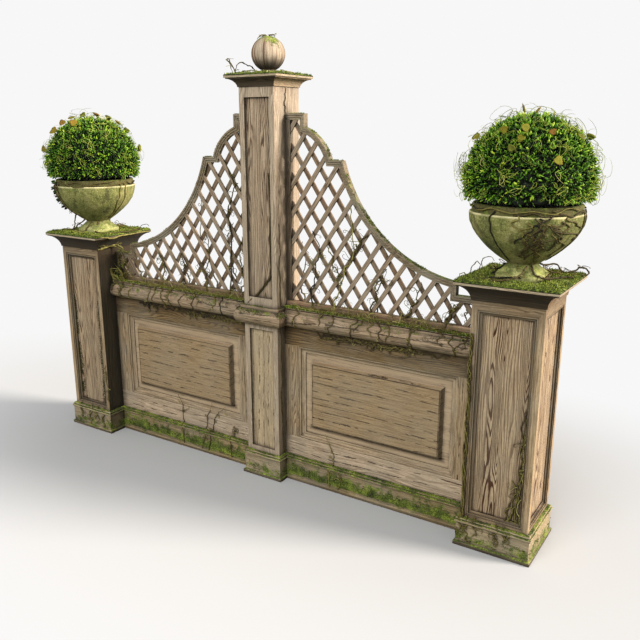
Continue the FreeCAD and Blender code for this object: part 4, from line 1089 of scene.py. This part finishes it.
def cap_stems():
    """Thick stems that wander from each urn's neck over the cap, arch up and come down, with thin shoots."""
    r = np.random.default_rng(121)
    z = cap_top
    free = {
        "right": [[(1307, 42, 1238), (1313, 95, 1222), (1348, 143, 1222), (1377, 153, 1190), (1411, 176, 1194),
                   (1425, 213, 1204), (1449, 215, 1200), (1472, 153, 1192), (1457, 130, 1186)],
                  [(1146, -139, 1190), (1181, -123, 1193), (1238, -102, 1196), (1280, -91, 1196),
                   (1323, -69, 1194), (1340, -3, 1190)],
                  [(1195, -8, 1240), (1164, 4, 1218), (1145, -21, 1200), (1141, -57, 1192)],
                  [(1292, 46, 1238), (1310, 46, 1212), (1340, 43, 1198), (1356, 4, 1194), (1350, -26, 1192)],
                  [(1297, -40, 1240), (1320, -70, 1214), (1360, -60, 1196), (1400, 20, 1194), (1440, 60, 1190)],
                  [(1290, -70, 1240), (1276, -112, 1212), (1240, -150, 1194), (1180, -168, 1192),
                   (1110, -160, 1190)]],
        "left": [[(-1200, -40, 1240), (-1180, -80, z + 12), (-1120, -120, z + 14), (-1062, -60, z + 8),
                  (-1044, 40, z + 8), (-1046, 130, z + 10)],
                 [(-1060, -204, z + 2), (-1038, -150, z - 6), (-1036, -88, z - 16), (-1036, -20, z - 10),
                  (-1036, 79, z - 8), (-1037, 187, z - 10)],
                 [(-1340, -38, 1290), (-1369, -60, 1265), (-1380, -60, 1223), (-1395, -60, z + 4)],
                 [(-1290, -60, 1250), (-1330, -90, z + 30), (-1350, -110, z + 8), (-1380, -120, z + 4)],
                 [(-1230, -60, 1240), (-1240, -110, z + 12), (-1200, -160, z + 10), (-1150, -170, z + 8)],
                 [(-1100, -146, 1101), (-1094, -100, 1106), (-1090, -60, 1112), (-1070, -30, 1116),
                  (-1030, -24, 1096)],
                 [(-1099, -130, 1098), (-1092, -80, 1110), (-1080, -40, 1108), (-1040, -26, 1090),
                  (-1000, -22, 1078)]]}
    for side, s in SIDES.items():
        paths = [curve(c, 64) for c in free[side]]
        middle = s * pedestal_x
        for a in np.array([0.9, 1.9, 2.9]) + r.normal(0, 0.2, 3):
            far = r.uniform(120, 190)
            reach = np.array([64, 84, 0.55 * far + 40, 0.8 * far + 30, far + 12])
            bend = a + np.cumsum(r.normal(0, 0.16, 5))
            rise = np.array([1246, 1215, z + 19, z + 10 + r.uniform(0, 14), z + 9])
            paths.append(curve(np.stack([middle + reach * np.cos(bend), reach * np.sin(bend), rise], -1), 64))
        paths = shaken(np.array(paths), 2.5, 3.0, (1, 1, 0.4), 123 + s)
        stems(side + "_cap_stems", paths, 8.6, (0.1, 0.2, 1), 125 + s, 0.24 if s > 0 else 0.5, 0.25)
        stems(side + "_cap_shoots", tendrils(paths, 4, TOP, 80, 127 + s, 22.0), 3.0, (0, 0, 1), 129 + s, 0.5)
    arcs = [[(1052, -60, z + 2), (1060, -60, z + 29), (1078, -60, z + 58), (1092, -60, z + 52),
             (1093, -61, z + 34), (1098, -62, z + 2)],
            [(1062, 60, z + 2), (1059, 60, z + 45), (1079, 60, z + 58), (1101, 60, z + 60), (1110, 58, z + 44)],
            [(1070, -120, z + 2), (1056, -130, z + 20), (1044, -150, z + 16), (1050, -170, z + 3)],
            [(-1060, 120, z + 2), (-1040, 140, z + 30), (-1020, 160, z + 36), (-1012, 170, z + 22)]]
    stems("creeper_cap_arcs", climb(arcs, 136, 2.0, (1, 1, 0.3)), 4.4, (0.1, 0.2, 1), 137, 0.4)
    top = centre_cap_top
    loops = [[(-46, -20, top + 4), (-66, -60, top + 40), (-96, -100, top + 48), (-112, -112, top + 6)],
             [(-108, -108, top + 6), (-124, -126, top + 56), (-134, -132, top + 66), (-128, -120, top + 40),
              (-118, -116, top + 8)],
             [(-120, -60, top + 4), (-70, -90, top + 16), (0, -80, top + 12), (60, -100, top + 10)],
             [(40, -20, top + 4), (90, -60, top + 12), (140, -40, top + 8), (150, 20, top - 6)],
             [(-4, 0, top + 168), (-16, -8, top + 173), (-32, -16, top + 171), (-44, -22, top + 158)],
             [(4, 0, top + 168), (18, 5, top + 173), (36, 10, top + 168)]]
    loops = climb(loops, 131, 2.0)
    stems("creeper_centre_cap", loops, 6.0, (0.1, 0.2, 1), 132, 0.45)
    stems("creeper_centre_cap_shoots", tendrils(loops, 4, TOP, 46, 133, 5.0), 2.6, (0, 0, 1), 134, 0.55)


def ball_extras():
    """Round leaves that lie on the clipped balls, pointed sprigs on top and curling tendrils all over.

    A tendril goes outwards while it turns ever faster in the plane of two directions along the ball.
    """
    count = 200
    r = np.random.default_rng(141)
    seen = {"right": ((-1.85, 0.81), (-1.46, 0.66), (-1.58, 0.51), (-1.43, 0.85), (-0.91, 0.77), (-0.31, 0.69),
                      (0.23, 0.67), (-0.9, 0.34)),
            "left": ((-2.22, 1.2), (-2.16, 1.44), (-1.33, 0.98), (-2.06, 0.74), (0.83, 0.99), (-2.23, 0.32))}
    for side, s in SIDES.items():
        middle = np.array([s * pedestal_x, 0, ball_z])
        out = aim(*np.concatenate([seen[side], [(turn + pi, up) for turn, up in seen[side]]]).T)
        normal = 0.6 * out + np.array([0.5, -0.7, 0.3]) * np.sign(-out[:, 1:2]) + r.normal(0, 0.3, out.shape)
        size = r.uniform(13, 18, len(out)) * (1.0 if s > 0 else 1.3)
        round_leaves(side + "_round_leaves", middle + out * (ball_r + 7), normal, size, 142 + s)
        turn = r.uniform(0, 2 * pi, count)
        out = aim(turn, np.arcsin(r.uniform(-0.2, 1.0, count)))
        aside = unit(np.cross(out, r.normal(size=(count, 3))))
        t = np.linspace(0, 1, 22)[None, :, None]
        curl = r.uniform(5.0, 10.0, (count, 1, 1)) * t ** 1.4
        size = r.uniform(16, 40, (count, 1, 1)) * (1.5 - 0.6 * np.abs(out[:, 1]))[:, None, None]
        rise = size * (0.75 * t + 0.3 * np.sin(curl))
        paths = (middle + out * (ball_r - 12))[:, None] + out[:, None] * rise
        paths = paths + aside[:, None] * size * 0.8 * (np.cos(curl) - 1 + 0.7 * t)
        paths = paths + np.cross(out, aside)[:, None] * size * 0.6 * t * np.sin(1.3 * curl)
        stems(side + "_ball_tendrils", paths, 2.0, (0.31, 0.5, 0.8), 145 + s, 0.64, finish=moss_tuft)
    base = np.array([[-30, -20, 262], [12, -6, 262], [-70, 40, 250], [60, 60, 246.0]])
    base = np.array([pedestal_x, 0, ball_z]) + base
    way = unit(np.array([[-0.1, 0, 1], [0.5, 0, 0.8], [-0.5, 0.2, 1], [0.3, 0.5, 1.0]]))
    across = unit(np.cross(way, [0.6, 0.8, 0.1]))
    length, width = np.array([46, 38, 34, 34.0]), np.array([17, 13, 14, 14.0])
    points, faces = leaves(base - way * 14, way, across, length, width, np.array([0.2, -0.2, 0.2, 0.2]))
    piece("right_top_sprigs", points, faces, old_leaf, "foliage", 0.55)


for side, seed in (("left", 11), ("right", 23)):
    urn(side, seed)
    leaf_ball(side, seed)
finial()
for side, s in SIDES.items():
    cap = (s * pedestal_x - cap_half, s * pedestal_x + cap_half)
    bare = 0.15 if s > 0 else 0.25
    carpet(side + "_cap_moss", cap, (-cap_half, cap_half), cap_top, 11.0, bare, 31 + s, 10000, 12.0, 96.0)
    bay = (bay_from, bay_to) if s > 0 else (-bay_to, -bay_from)
    carpet(side + "_ledge_moss", bay, (-ledge_nose, -sill_face), ledge_z, 8.0, 0.3, 41 + s, 5000, 6.0)
    carpet(side + "_back_ledge_moss", bay, (sill_face, ledge_nose), ledge_z, 10.0, 0.3, 51 + s, 5000, 6.0)
centre_cap = (-centre_cap_half, centre_cap_half)
carpet("centre_cap_moss", centre_cap, centre_cap, centre_cap_top, 9.0, 0.35, 61, 4000)
moss_on_solids()
recess_moss()
rails_and_ledges()
lattice_climbers()
post_climbers()
urn_nets()
cap_stems()
ball_extras()


# Stage: a pale floor, a soft warm key from the back right, a softbox in front and an even fill

backdrop = "#f7f7f7"


def shown_to_eye(t):
    """1 for rays that show the backdrop: from the camera, from a mirror or through glass. Else 0."""
    rays = add(t, "LightPath").node.outputs
    seen = add(t, "Math", {0: rays["Is Camera Ray"], 1: rays["Is Glossy Ray"]}, operation="MAXIMUM")
    return add(t, "Math", {0: seen, 1: rays["Is Transmission Ray"]}, operation="MAXIMUM")


def floor_material():
    """Pale floor to the eye, which goes over into the backdrop. It throws back a dim, greenish light."""
    mat, t = fresh("pale_floor")
    far = add(t, "VectorMath", {0: add(t, "TexCoord", out="Object"), 1: (0.55, 1.0, 0.0)}, operation="MULTIPLY")
    far = add(t, "VectorMath", {0: far}, 1, operation="LENGTH")
    far = add(t, "MapRange", {0: far, 1: 0.7, 2: 2.2, 3: 0.0, 4: 1.0}, interpolation_type="SMOOTHSTEP")
    shown = add(t, "BsdfDiffuse", {"Color": "#b4b5b6"})
    shown = add(t, "MixShader", {0: far, 1: shown, 2: add(t, "Emission", {"Color": backdrop})})
    thrown = add(t, "BsdfDiffuse", {"Color": "#4c5638"})
    add(t, "OutputMaterial", {"Surface": add(t, "MixShader", {0: shown_to_eye(t), 1: thrown, 2: shown})})
    return mat


def put(name, data, place=(0.0, 0.0, 0.0), turn=(0.0, 0.0, 0.0)):
    """A new object of the stage, at a place in metres and turned by degrees."""
    made = bpy.data.objects.new(name, data)
    made.location = place
    made.rotation_euler = [radians(angle) for angle in turn]
    bpy.context.scene.collection.objects.link(made)
    return made


def stage():
    """Floor, world, lights and the camera at the photograph's place."""
    mesh = bpy.data.meshes.new("floor")
    mesh.from_pydata([(-60, -60, 0), (60, -60, 0), (60, 60, 0), (-60, 60, 0)], [], [(0, 1, 2, 3)])
    mesh.materials.append(floor_material())
    ground = put("floor", mesh)
    world = bpy.data.worlds.new("studio")
    world.use_nodes = True
    t = world.node_tree
    t.nodes.clear()
    fill = add(t, "Background", {"Color": "#f4f3f0", "Strength": 0.6})
    shown = add(t, "Background", {"Color": backdrop, "Strength": 1.0})
    add(t, "OutputWorld", {"Surface": add(t, "MixShader", {0: shown_to_eye(t), 1: fill, 2: shown})})
    bpy.context.scene.world = world
    key = bpy.data.lights.new("key", "SUN")
    key.energy = 8.0
    key.angle = radians(18)
    key.color = rgb("#fff4e8")[:3]
    put("key", key, turn=(0.0, 67, 19.3))
    softbox = bpy.data.lights.new("front_softbox", "AREA")
    softbox.energy = 400.0
    softbox.size = 4.0
    put("front_softbox", softbox, (0.5, -5.5, 4.2), (58, 0.0, 5))
    eye = bpy.data.cameras.new("camera")
    eye.sensor_width = 36.0
    eye.lens = 40.545
    bpy.context.scene.camera = put("camera", eye, (2.1020, -2.8438, 1.7711), (74.92, 0.0, 32.60))
    bpy.context.scene.view_settings.view_transform = "Standard"


stage()
